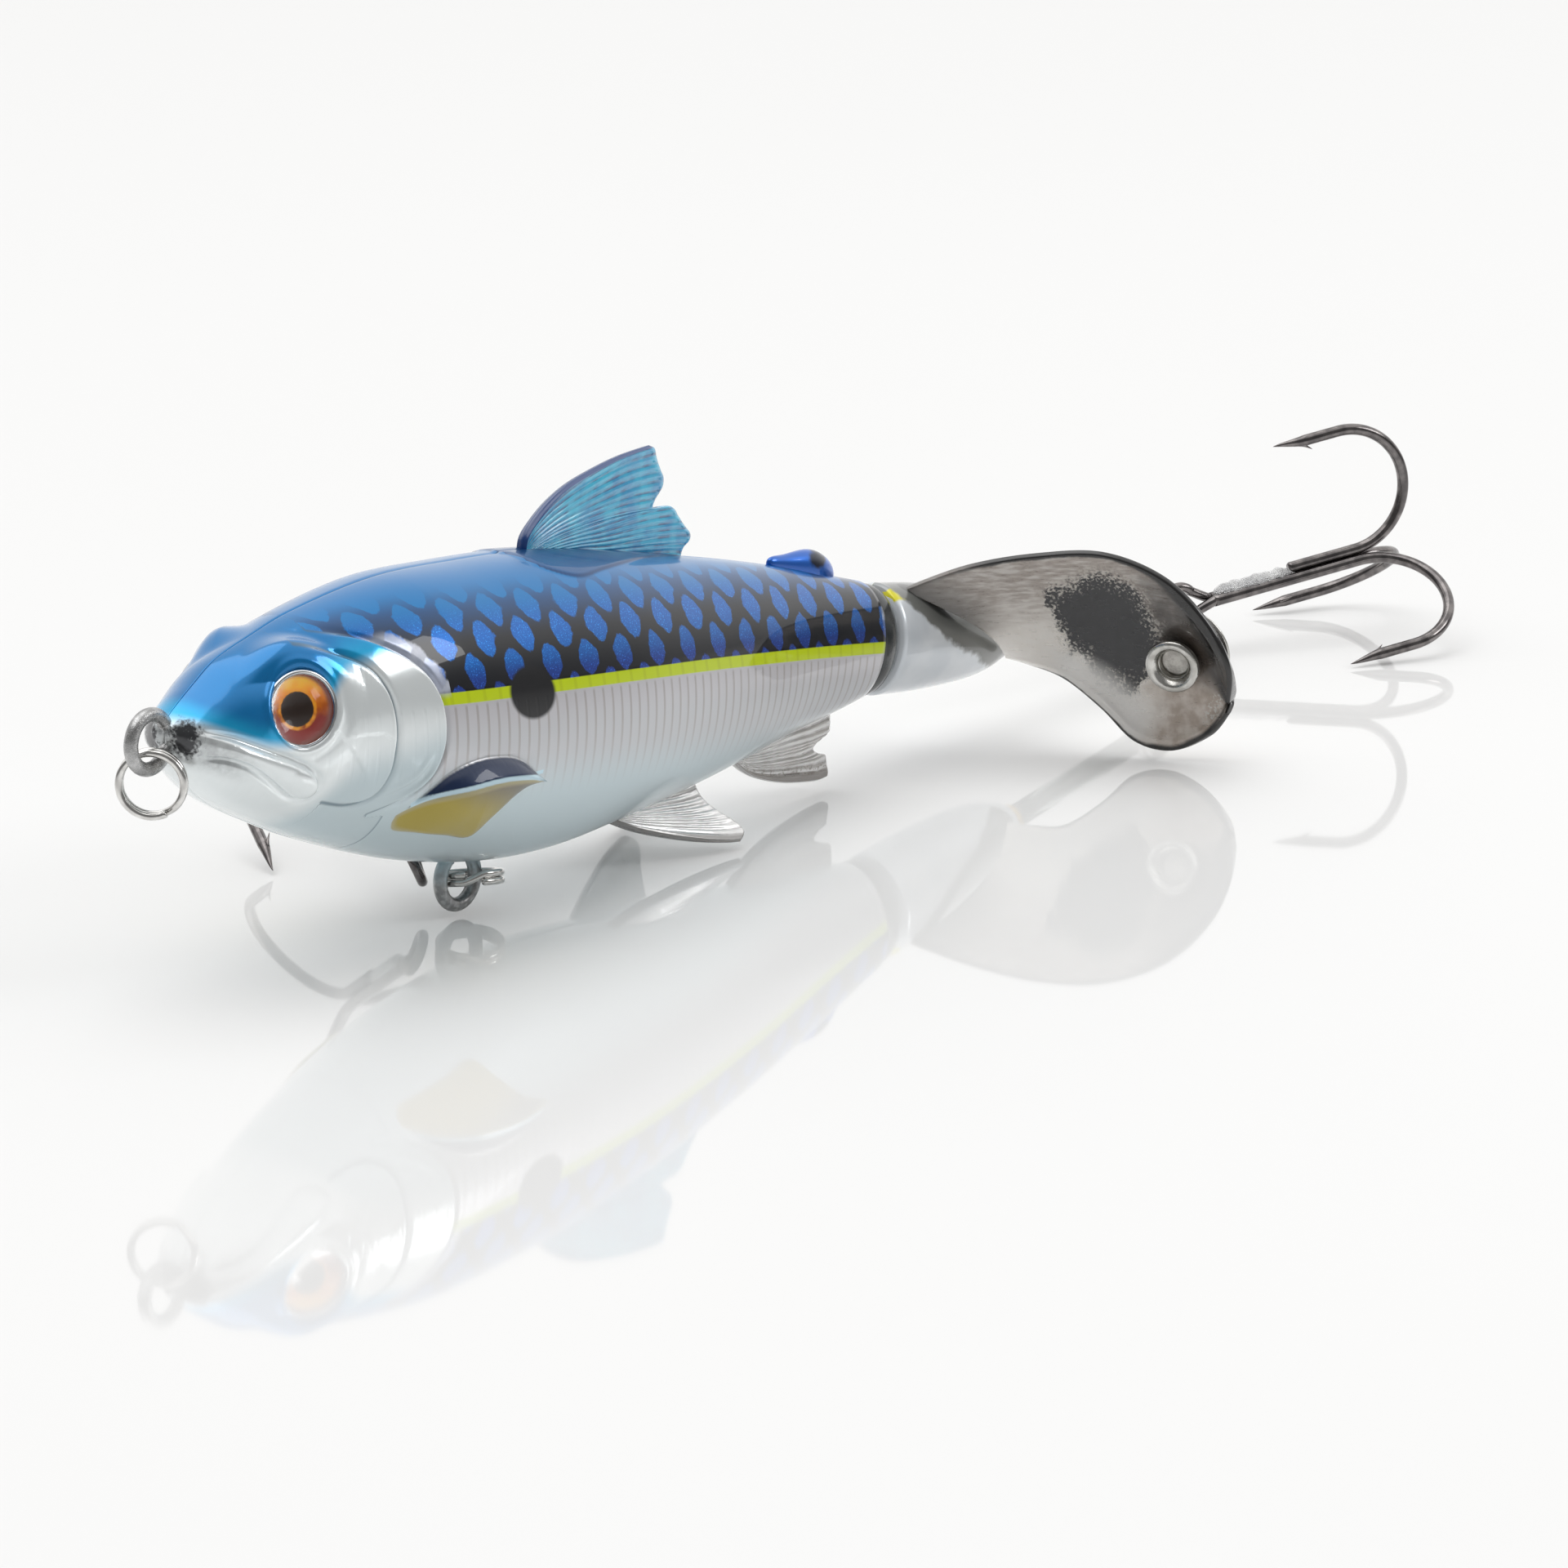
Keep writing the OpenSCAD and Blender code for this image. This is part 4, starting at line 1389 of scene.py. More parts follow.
    def breast_fin(self, points: np.ndarray, values: dict[str, np.ndarray]) -> np.ndarray:
        """The moulded breast fin, like a low tent whose ridge is the fin's edge.

        Args:
            points: Points of the smooth left side.
            values: Receives the values that the paint reads.

        Returns:
            How far each point stands proud for the fin.
        """
        x, z = points[..., 0], points[..., 2]
        ridge, roof, foot = (curve_through(c, 60) for c in (self.fin_line, self.fin_roof, self.fin_foot))
        ridge_z = np.interp(x, ridge[:, 0], ridge[:, 1])
        top = np.vstack([ridge, roof[::-1]])
        low = np.vstack([foot, ridge[::-1]])
        flat = np.stack([x, z], -1)
        in_top, in_low = inside_depth(flat, top), inside_depth(flat, low)
        to_ridge = beside(flat, ridge).distance
        proud = 2.1 * ease(x, 25.5, 33.0)
        from_foot = beside(flat, foot).distance
        from_roof = beside(flat, roof).distance
        slope_low = np.clip(from_foot / (from_foot + to_ridge + 1e-6), 0, 1) ** 0.75
        slope_top = np.clip(from_roof / (from_roof + to_ridge + 1e-6), 0, 1) ** 0.85
        low_height = proud * slope_low * 0.9 + 0.28 * ease(in_low, 0.0, 0.3) * ease(x, 26, 30)
        top_height = proud * slope_top * 0.9 + 0.25 * ease(in_top, 0.0, 0.3)
        height = np.where(in_low > 0, low_height, np.where(in_top > 0, top_height, 0.0))
        values["fin_top"] = in_top
        values["fin_low"] = in_low
        values["fin_rim"] = np.where((x > 26.5) & (x < 43.4), np.abs(z - ridge_z - 0.12), 5.0)
        values["fin_tip"] = (x - 28) / 15 + (z - 14) / 6
        return height

    def build(self) -> None:
        """Builds both shells."""
        points, normal, up = self.surface()
        height, values = self.relief(points)
        seam = np.linspace(-1, 1, self.columns)
        height = height - 0.10 * ease(np.abs(seam), 0.985, 1.0)[None]
        raised = points + normal * height[..., None]
        raised[..., 1] = np.minimum(raised[..., 1], -0.02 * (np.abs(seam) < 0.999))
        raised[:, [0, -1], 1] = -0.015
        for side in Side:
            draft = Draft()
            shape = raised * (1, -side.value, 1)
            start = draft.grid(shape, flip=side is Side.LEFT, up=up, **values)
            last = start + (len(shape) - 1) * self.columns
            ends = [range(start, start + self.columns), range(last + self.columns - 1, last - 1, -1)]
            for corners in ends:
                draft.face(corners if side is Side.LEFT else list(corners)[::-1])
            draft.piece(f"shell_{side.word}", SHELL_PAINT, "body", "shell_paint", [f"body_shell_{side.word}"])
        self.back_bump()

    def back_bump(self) -> None:
        """Builds the drop-shaped bump on the back, in front of the tail."""
        t = np.linspace(0, math.pi, 40)
        x = 96.5 - 4.9 * np.cos(t)
        spine = np.stack([x, 0 * t, 23.5 - 0.31 * (x - 93.5)], -1)
        fat = np.sin(t) ** 0.65 * (0.95 + 0.85 * ease(x, 93.0, 99.5))
        draft = Draft()
        angle = np.linspace(0, 2 * math.pi, 40, endpoint=False)
        rings = spine[:, None] + fat[:, None, None] * np.stack(
            [0 * angle, 0.85 * np.cos(angle), 1.35 * np.sin(angle)], -1
        )[None]
        draft.grid(rings, around=True)
        draft.piece("back_bump", BUMP, "body", "shell_paint")


@dataclass
class Eyes:
    """Both eyes: a printed disc in a silver rim under a clear dome."""

    at: tuple = EYE_AT
    out: tuple = EYE_OUT
    dome_r: float = 3.4
    dome_rise: float = 1.5
    seat: float = -1.2

    def dome_profile(self) -> list[tuple[float, float]]:
        """The clear dome from the middle of its flat back, round its wall, to its top.

        Returns:
            Radius and height pairs.
        """
        ball = (self.dome_r ** 2 + self.dome_rise ** 2) / (2 * self.dome_rise)
        sweep = math.asin(self.dome_r / ball)
        tilt = sweep * np.cos(np.linspace(0, math.pi / 2, 26))
        cap = [(ball * math.sin(a), self.dome_rise - ball + ball * math.cos(a)) for a in tilt]
        out, back = self.dome_r, self.seat + 0.04
        wall = [(1e-3, back), (out - 0.1, back), (out, self.seat + 0.15), (out, -0.05)]
        return wall + cap

    def disc_profile(self) -> list[tuple[float, float]]:
        """The printed disc, slightly dished.

        Returns:
            Radius and height pairs.
        """
        face = self.seat - 0.02
        dish = [(r, face - 0.10 * (1 - r / 2.9)) for r in np.linspace(2.8, 0.001, 18)]
        return [(3.3, self.seat - 0.7), (3.3, self.seat), (2.9, face), *dish]

    def rim_profile(self) -> list[tuple[float, float]]:
        """The silver rim's rounded section.

        Returns:
            Radius and height pairs.
        """
        loop = -np.linspace(0, 2 * math.pi, 17)
        return [(3.46 + 0.26 * math.cos(a), -0.05 + 0.34 * math.sin(a)) for a in loop]

    def build(self) -> None:
        """Builds the disc, the rim and the dome of both eyes."""
        for side in Side:
            word, flip = side.word, (1, -side.value, 1)
            axes = axes_along(np.multiply(self.at, flip), np.multiply(self.out, flip))
            disc, dome, rim = Draft(), Draft(), Draft()
            disc.lathe(self.disc_profile(), axes)
            disc.piece(f"eye_iris_{word}_disc", IRIS, "body", "iris_foil", [f"eye_iris_{word}"])
            dome.lathe(self.dome_profile(), axes)
            dome.piece(f"eye_dome_{word}_clear", EYE_CLEAR, "body", "eye_clear", [f"eye_dome_{word}"])
            rim.lathe(self.rim_profile(), axes)
            rim.piece(f"eye_rim_{word}", EYE_RIM, "body", "iris_foil")


@dataclass
class FinPatch:
    """One moulded fin: a thin curved plate whose rays fan from its leading corner."""

    name: str
    finish: Finish
    slot: str
    node: str
    lead: tuple
    base: tuple
    rear: tuple
    thick: float = 1.1
    rays: int = 20
    lead_bar: float = 0.10
    rows: int = 150
    columns: int = 70

    def build(self) -> None:
        """Builds the fin between its leading edge, its foot and its rear edge."""
        lead = curve_through(self.lead, self.columns)[None]
        base = curve_through(self.base, self.columns)[None]
        rear = curve_through(self.rear, self.rows * 3)
        gone = np.concatenate([[0], np.cumsum(np.linalg.norm(np.diff(rear, axis=0), axis=1))])
        even = np.linspace(0, gone[-1], self.rows)
        rear = np.stack([np.interp(even, gone, rear[:, k]) for k in range(3)], -1)[:, None]
        v = np.linspace(0, 1, self.rows)[:, None, None]
        u = np.linspace(0, 1, self.columns)[None, :, None]
        sheet = (1 - v) * lead + v * base + u * (rear - ((1 - v) * lead[:, -1:] + v * base[:, -1:]))
        across = np.cross(np.gradient(sheet, axis=0), np.gradient(sheet, axis=1))
        centre = unit(across[self.rows // 2, self.columns // 2])
        normal = np.broadcast_to(centre, sheet.shape)
        v2, u2 = v[..., 0], u[..., 0]
        ray = 0.5 + 0.5 * np.cos(2 * math.pi * self.rays * (v2 + 0.012 * np.sin(9 * u2)))
        ray = ray * np.ones_like(u2)
        bar = ease(v2, self.lead_bar * 1.3, self.lead_bar * 0.5) * np.ones_like(u2)
        half = self.thick / 2 * (0.62 + 0.16 * ray * ease(u2, 0.03, 0.2) * (1 - bar) + 0.38 * bar)
        half = half * (1 - 0.35 * ease(u2, 0.55, 1.0)) * (0.35 + 0.65 * ease(u2, 1.0, 0.965))
        half = half * (0.30 + 0.70 * ease(v2, 0.0, 0.03))
        size = float(np.linalg.norm(np.diff(sheet[:, self.columns * 2 // 3], axis=0), axis=1).sum())
        from_lead = v2 * size * np.ones_like(u2)
        draft = Draft()
        draft.plate(sheet, normal * half[..., None], ray=ray, lead=from_lead)
        draft.piece(self.name, self.finish, "body", self.slot, [self.node])


def fins() -> list[FinPatch]:
    """All four fins.

    Returns:
        The dorsal, anal and both pelvic fins.
    """
    dorsal = FinPatch(
        "dorsal_fin_rayed", TURQUOISE, "fin_turquoise", "dorsal_fin",
        lead=(
            (53.9, 0, 32.6), (54.2, 0, 34.3), (55.7, 0, 35.7), (58, 0, 37.1),
            (61, 0, 38.2), (65, 0, 38.95), (69, 0, 39.4), (73.4, 0, 39.5),
        ),
        base=(
            (53.9, 0, 32.2), (58, 0, 31.6), (62, 0, 30.9), (66, 0, 30),
            (70, 0, 29.2), (74, 0, 28.3), (77.9, 0, 27.5),
        ),
        rear=(
            (73.4, 0, 39.5), (74.2, 0, 39), (74.5, 0, 38), (75, 0, 36.9), (75.5, 0, 35.9),
            (75.3, 0, 35), (74.4, 0, 34.2), (73.8, 0, 33.4), (74.8, 0, 33.1), (76.2, 0, 33),
            (77.1, 0, 32.5), (77.7, 0, 31.7), (78.6, 0, 30.6), (79.5, 0, 29.6), (79.3, 0, 28.9),
            (78.4, 0, 28.4), (77.9, 0, 27.5),
        ),
        thick=1.25, rays=17, lead_bar=0.075,
    )
    anal = FinPatch(
        "anal_fin_rayed", SPECKLED_FIN, "fin_clear", "anal_fin",
        lead=(
            (85.2, 0, 5.9), (87.7, 0, 3.9), (90.3, 0, 2.7), (93.4, 0, 1.75),
            (96.4, 0, 1.15), (98.7, 0, 0.8), (100.1, 0, 0.8),
        ),
        base=((85.2, 0, 6.6), (89, 0, 7.2), (93, 0, 7.9), (97, 0, 8.6), (101.1, 0, 9.2)),
        rear=(
            (100.1, 0, 0.8), (100.5, 0, 1.2), (100.45, 0, 2.2), (100.3, 0, 3.1),
            (99.2, 0, 3.5), (98.4, 0, 4), (98.6, 0, 4.5), (99.8, 0, 4.9),
            (100.9, 0, 5.3), (101.15, 0, 6), (101.15, 0, 7.4), (101.1, 0, 9.2),
        ),
        thick=1.2, rays=13, lead_bar=0.13,
    )
    pelvic = []
    for side in Side:
        k = -side.value
        pelvic.append(
            FinPatch(
                f"pelvic_fin_{side.word}_rayed", CLEAR_FIN, "fin_clear", f"pelvic_fin_{side.word}",
                lead=(
                    (62.8, -2.2 * k, 5.3), (66, -3.3 * k, 3.6), (69.5, -4.7 * k, 2.3),
                    (73, -6 * k, 1.3), (76, -6.9 * k, 0.7), (77.6, -7.3 * k, 0.5),
                ),
                base=((62.8, -2.2 * k, 5.8), (67, -2.5 * k, 6), (71.5, -2.7 * k, 6.2), (75.9, -2.8 * k, 6.6)),
                rear=(
                    (77.6, -7.3 * k, 0.5), (78.9, -6.7 * k, 1.15), (78.6, -5.9 * k, 2), (77.5, -5 * k, 3),
                    (76.6, -4.1 * k, 4), (76.1, -3.4 * k, 5.1), (75.9, -2.8 * k, 6.6),
                ),
                thick=1.0, rays=11, lead_bar=0.16,
            )
        )
    return [dorsal, anal, *pelvic]


@dataclass
class Wires:
    """The nose eye, the belly hanger and the tail shaft with its eye."""

    wire_r: float = WIRE_R
    eye_r: float = WIRE_EYE_R
    hanger_at: tuple = (43.7, 0.0, 3.3)
    shaft_eye: float = 51.2

    def looped(self, centre: Sequence[float], stem: Sequence[float], length: float) -> np.ndarray:
        """A wire that comes out, goes round an eye and goes back beside itself.

        Args:
            centre: The eye's centre.
            stem: The direction from the eye to where the wire is held.
            length: How long the two stems are.

        Returns:
            Points along the wire.
        """
        out = unit(stem)
        across = np.cross(out, (0.0, 1.0, 0.0))
        turn = np.radians(np.linspace(16, 344, 90))
        ring = np.stack([self.eye_r * np.cos(turn), self.eye_r * np.sin(turn)], -1)
        ends = np.array([[self.eye_r + s, 0.62] for s in (length, length / 2, 1.0)])
        path = np.vstack([ends, ring[4:-4], ends[::-1] * (1, -1)])
        dense = curve_through(path, 260)
        return np.asarray(centre) + dense[:, :1] * out + dense[:, 1:] * across

    def build(self) -> None:
        """Builds all three wires."""
        nose = Draft()
        nose.tube(self.looped((0, 0, 26), (1, 0, 0), 9.0), self.wire_r)
        nose.piece("nose_eye_wire", SATIN_WIRE, "body", "satin_wire", ["line_tie_wire"])
        hanger = Draft()
        hanger.tube(self.looped(self.hanger_at, (0, 0, 1), 4.5), self.wire_r)
        hanger.piece("belly_hanger_loop", HANGER_WIRE, "body", "satin_wire", ["belly_hanger_wire"])
        shaft, axes = Draft(), shaft_axes()
        turn = np.radians(np.linspace(-174, 168, 90))
        height = self.shaft_eye + self.eye_r * np.cos(turn)
        ring = np.stack([-self.eye_r * np.sin(turn), 0 * turn, height], -1)
        straight = [[0, 0, s] for s in np.linspace(-12.8, self.shaft_eye - self.eye_r - 1.6, 20)]
        path = curve_through(np.vstack([straight, ring[3:]]), 320)
        shaft.tube(axes.at(path), self.wire_r)
        shaft.piece("tail_shaft_wire", SATIN_WIRE, "body", "satin_wire", ["tail_shaft"])


@dataclass
class SplitRing:
    """A ring of flat-wound wire, two turns with a step where they cross."""

    name: str
    node: str
    body: str
    centre: tuple
    axis: tuple
    mean_r: float = 3.0
    wire_r: float = 0.36
    start: float = 0.0

    def build(self) -> None:
        """Winds the ring."""
        axes = axes_along(self.centre, self.axis)
        turn = np.linspace(0.28, 4 * math.pi - 0.28, 320)
        lift = self.wire_r * 1.04 * (2 * ease(turn, 2 * math.pi - 0.42, 2 * math.pi + 0.42) - 1)
        angle = turn + self.start
        local = np.stack([self.mean_r * np.cos(angle), self.mean_r * np.sin(angle), lift], -1)
        radius = np.full(len(turn), self.wire_r)
        radius[[0, -1]] *= 0.82
        draft = Draft()
        draft.tube(axes.at(local), radius, sides=18)
        draft.piece(self.name, BRIGHT_NICKEL, self.body, "ring_nickel", [self.node])


@dataclass
class Treble:
    """A treble hook: one wire bent into an eye and two hooks, and a third hook brazed to it."""

    place: str
    eye_at: tuple
    shank_way: tuple
    single_way: tuple
    eye_roll: float = 0.0
    wire_r: float = 0.58
    shank: float = 20.0
    bend_r: float = 6.4
    point: float = 7.3
    taper: float = 3.5
    eye_r: float = 1.85

    @property
    def body(self) -> str:
        """The part's body that the hook is."""
        return f"{self.place}_hook"

    @property
    def nest(self) -> float:
        """Distance of each shank wire from the hook's middle line."""
        return 2 * self.wire_r / math.sqrt(3) + 0.03

    def axes(self) -> Axes:
        """Local x along the shank and z towards the single hook.

        Returns:
            The axes.
        """
        x = unit(self.shank_way)
        z = unit(np.asarray(self.single_way) - (np.asarray(self.single_way) @ x) * x)
        return Axes(np.asarray(self.eye_at, float), x, np.cross(z, x), z)

    def arm(self, start: float, roll: float) -> tuple[np.ndarray, np.ndarray]:
        """One hook from its shank to its tip.

        Args:
            start: Where along the shank it starts.
            roll: Which way it points round the shank, in degrees.

        Returns:
            Local points along the wire, and the wire's radius at each.
        """
        shank = np.stack([np.linspace(start, self.shank, 40, endpoint=False), np.full(40, self.nest)], -1)
        t = np.linspace(-math.pi / 2, math.pi / 2, 80, endpoint=False)
        bend = np.stack([self.shank + self.bend_r * np.cos(t), self.nest + self.bend_r * (1 + np.sin(t))], -1)
        top = self.nest + 2 * self.bend_r
        out = np.linspace(0, self.point, 50)
        tip = np.stack([self.shank - out, top + 0.25 * ease(out, self.point - self.taper, self.point)], -1)
        flat = np.vstack([shank, bend, tip])
        radius = np.full(len(flat), self.wire_r)
        sharp = np.clip((self.point - out) / self.taper, 0, 1) ** 0.85
        narrow = 0.02 + (self.wire_r - 0.02) * sharp
        radius[-len(out):] = np.where(out > self.point - self.taper, narrow, self.wire_r)
        r = math.radians(roll)
        return np.stack([flat[:, 0], -math.sin(r) * flat[:, 1], math.cos(r) * flat[:, 1]], -1), radius

    def barb(self, draft: Draft, roll: float) -> None:
        """Adds the small cut barb on the inside of a hook's point.

        Args:
            draft: The mesh that it is added to.
            roll: Which way the hook points round the shank, in degrees.
        """
        top = self.nest + 2 * self.bend_r
        root = self.shank - self.point + self.taper
        flat = np.array([[root - 0.5, top - 0.28], [root + 0.1, top - 0.62], [root + 0.75, top - 1.12]])
        flat = curve_through(flat, 8)
        r = math.radians(roll)
        local = np.stack([flat[:, 0], -math.sin(r) * flat[:, 1], math.cos(r) * flat[:, 1]], -1)
        draft.tube(self.axes().at(local), np.linspace(0.26, 0.02, 8), sides=12)

    def eye_path(self) -> np.ndarray:
        """The bent eye between the two shank wires, in local points.

        Returns:
            Points along the wire.
        """
        t = np.radians(np.linspace(24, 336, 70))
        r = math.radians(self.eye_roll)
        flat_y = np.linspace(0.40, -0.40, 70)
        flat_z = self.eye_r * np.sin(t)
        y = flat_y * math.cos(r) - flat_z * math.sin(r)
        z = flat_y * math.sin(r) + flat_z * math.cos(r)
        return np.stack([self.eye_r * np.cos(t), y, z], -1)

    def build(self) -> None:
        """Builds the double hook, the single hook and the braze."""
        self.build_double()
        self.build_single()
        self.build_braze()

    def build_double(self) -> None:
        """Builds the wire that is bent into the eye and two of the hooks."""
        eye, rolls = self.eye_path(), (120, -120)
        arms = [self.arm(3.6, roll) for roll in rolls]
        first, second = (points[0] for points, _ in arms)
        crossed = first[1] * eye[0, 1] < 0
        turned = abs(self.eye_roll) > 30 and first @ eye[8] < second @ eye[8]
        if crossed or turned:
            arms.reverse()
        (way_in, radius_in), (way_out, radius_out) = arms
        join_in = curve_through([way_in[2], way_in[0], eye[2], eye[6]], 24)[8:17]
        join_out = curve_through([eye[-7], eye[-3], way_out[0], way_out[2]], 24)[8:17]
        middle = np.vstack([join_in, eye[3:-3], join_out])
        path = np.vstack([way_in[::-1], middle, way_out])
        radius = np.concatenate([radius_in[::-1], np.full(len(middle), 0.5), radius_out])
        draft = Draft()
        draft.tube(self.axes().at(path), radius, sides=20)
        for roll in rolls:
            self.barb(draft, roll)
        node = f"{self.place}_double_hook"
        draft.piece(f"{node}_wire", BLACK_NICKEL, self.body, "black_nickel", [node])

    def build_single(self) -> None:
        """Builds the third hook, whose shank ends where the braze holds it."""
        points, radius = self.arm(12.4, 0)
        radius[0] *= 0.8
        draft = Draft()
        draft.tube(self.axes().at(points), radius, sides=20)
        self.barb(draft, 0)
        node = f"{self.place}_single_hook"
        draft.piece(f"{node}_wire", BLACK_NICKEL, self.body, "black_nickel", [node])

    def build_braze(self) -> None:
        """Builds the uneven braze along the shanks."""
        s = np.linspace(3.9, 13.4, 90)
        ripple = 0.05 * np.sin(s * 2.3) + 0.04 * np.sin(s * 5.1 + 1)
        ends = np.clip((s - 3.8) / 0.9, 0.02, 1) * np.clip((13.5 - s) / 0.8, 0.02, 1)
        fat = (0.50 + 0.30 * ease(s, 12.4, 11.2) + ripple) * np.sqrt(ends)
        path = np.stack([s, 0.03 * np.sin(s * 3), 0.22 + 0 * s], -1)
        draft = Draft()
        draft.tube(self.axes().at(path), fat, sides=22)
        draft.piece(f"{self.place}_hook_solder", TIN, self.body, "tin_braze", [f"{self.place}_hook_braze"])


@dataclass
class Tail:
    """The collar, and the spinning tail: cone, curled blade, rivet and domed disc."""

    cone: np.ndarray = field(
        default_factory=lambda: np.array(
            [
                [3.3, 5.6, 4.3], [9.6, 5.4, 4.1], [17.3, 4.7, 3.6],
                [21, 4, 3.1], [24, 2.9, 2.4], [25.6, 2.2, 2.1],
            ]
        )
    )
    top_edge: tuple = (
        (111.7, -1.2, 17.7), (115.2, -6.4, 20), (118.5, -12.6, 21.4), (122.2, -17.9, 21.5),
        (125, -23.2, 19.2), (126.6, -27.2, 15), (127.6, -29, 10.5), (128.6, -28.2, 6.6),
    )
    low_edge: tuple = (
        (125.9, -3.4, 8.2), (125.7, -6.5, 7.9), (125.6, -10.6, 7.1), (126.6, -14.3, 4.4),
        (127.7, -17.6, 1.3), (128.8, -21.5, 0.7), (129.6, -25.2, 2.6), (129, -27.9, 5.4),
    )
    blade_back: tuple = (0.93, 0.31, 0.19)
    cup: float = 2.0
    root_bulge: float = 2.6
    blade_thick: float = 1.2
    rivet_at: tuple = (128.2, -22.3, 10.1)
    rivet_way: tuple = (0.9314, 0.3098, 0.1908)
    collar_r: tuple = (5.75, 4.3)
    rows: int = 190
    columns: int = 90

    def middle(self, u: np.ndarray, v: np.ndarray) -> np.ndarray:
        """The blade's middle surface.

        Args:
            u: Shares from the root to the tip, in a row.
            v: Shares from the top edge to the low one, in a row.

        Returns:
            Points, rows by columns by 3.
        """
        fine = curve_through(self.top_edge, 701), curve_through(self.low_edge, 701)
        pick = np.round(u * 700).astype(int)
        top, low = fine[0][pick][:, None], fine[1][pick][:, None]
        bow = (4 * v * (1 - v))[None, :, None]
        cup = (self.cup * np.minimum(1, 2.2 * u))[:, None, None] * bow
        root = (self.root_bulge * np.clip(1 - 4 * u, 0, None))[:, None, None] * bow
        w = v[None, :, None]
        return top * (1 - w) + low * w + cup * np.asarray(self.blade_back) - root * np.array([0.0, 1.0, 0.0])

    def build(self) -> None:
        """Builds the collar, the sleeve and every piece of the spinning tail."""
        self.build_collar()
        self.build_cone()
        self.build_blade()
        self.build_rivet()

    def build_collar(self) -> None:
        """Builds the dark collar and the clear sleeve behind the cone, both fixed to the body."""
        axes = shaft_axes()
        squash = self.collar_r[1] / self.collar_r[0]
        profile = [
            (0.71, 0.05), (5.45, 0.02), (5.72, 0.2), (5.75, 0.5), (5.66, 1.4),
            (5.5, 2.2), (5.3, 2.48), (0.71, 2.5), (0.71, 0.05),
        ]
        collar = Draft()
        collar.lathe(profile, axes, squash=squash)
        collar.piece("collar_band", COLLAR_SMOKE, "body", "collar_smoke", ["rear_collar"])
        sleeve = Draft()
        wall = [(0.71, 26.4), (1.1, 26.4), (1.2, 26.5), (1.2, 46.7), (1.1, 46.8), (0.71, 46.8), (0.71, 26.4)]
        sleeve.lathe(wall, axes, 40)
        sleeve.piece("sleeve_clear", CLEAR_TUBE, "body", "tube_clear", ["spacer_sleeve"])

    def build_cone(self) -> None:
        """Builds the painted cone."""
        axes = shaft_axes()
        s = 3.3 + 22.3 * (1 - (1 - np.linspace(0, 1, 150)) ** 1.4)
        lip = 1 - 0.05 * ease(s, 3.7, 3.3) - 0.35 * ease(s, 25.0, 25.6)
        tall, wide = (table_value(self.cone, s, column) * lip for column in (1, 2))
        angle = np.linspace(0, 2 * math.pi, 140, endpoint=False)
        along = np.repeat(s[:, None], len(angle), 1)
        local = np.stack([tall[:, None] * np.cos(angle), wide[:, None] * np.sin(angle), along], -1)
        points = axes.at(local)
        root_line = self.middle(np.zeros(1), np.linspace(0, 1, 40))[0]
        root = np.min(np.linalg.norm(points[:, :, None] - root_line[None, None], axis=-1), axis=-1)
        root = np.where(points[..., 1] < 0.6, root, 9.0)
        from_top = np.arctan2(np.abs(local[..., 1]), -local[..., 0])
        turn = np.where(local[..., 1] < 0.4, from_top, 3.0)
        draft = Draft()
        start = draft.grid(points, around=True, root=root, along=along, turn=turn)
        last = start + along.size - len(angle)
        draft.lathe([(1.1, 3.32), (1.1, 25.58)], axes, 24)
        draft.face(range(start + len(angle) - 1, start - 1, -1))
        draft.face(range(last, last + len(angle)))
        draft.piece("tail_cone_painted", CONE, "tail", "cone_paint", ["tail_cone"])

    def build_blade(self) -> None:
        """Builds the curled blade with rounded edges."""
        u, v = np.linspace(0, 1, self.rows), np.linspace(0, 1, self.columns)
        v = (1 - np.cos(v * math.pi)) / 2 * 0.5 + v * 0.5
        sheet = self.middle(u, v)
        normal = np.cross(np.gradient(sheet, axis=0), np.gradient(sheet, axis=1))
        normal /= np.linalg.norm(normal, axis=-1)[..., None].clip(1e-9)
        back = np.asarray(self.blade_back)
        normal *= np.sign((normal @ back))[..., None]
        normal = normal * 0.75 + back * 0.25
        width = np.linalg.norm(sheet[:, -1] - sheet[:, 0], axis=-1)[:, None]
        from_top, from_low = v[None] * width, (1 - v[None]) * width
        gone = np.linalg.norm(sheet[-1:, :] - sheet, axis=-1)
        edge = np.minimum(np.minimum(from_top, from_low), gone)
        half = self.blade_thick / 2 * (0.42 + 0.58 * np.sqrt(np.clip(edge / 1.1, 0, 1)))
        half = half * (1 + 0.10 * np.exp(-(((edge - 0.9) / 0.5) ** 2)))
        uu, vv = np.repeat(u[:, None], self.columns, 1), np.repeat(v[None], self.rows, 0)
        draft = Draft()
        draft.plate(sheet, -normal * half[..., None], u=uu, v=vv, edge=edge)
        draft.piece("tail_blade_curled", BLADE, "tail", "blade_smoke", ["tail_blade"])

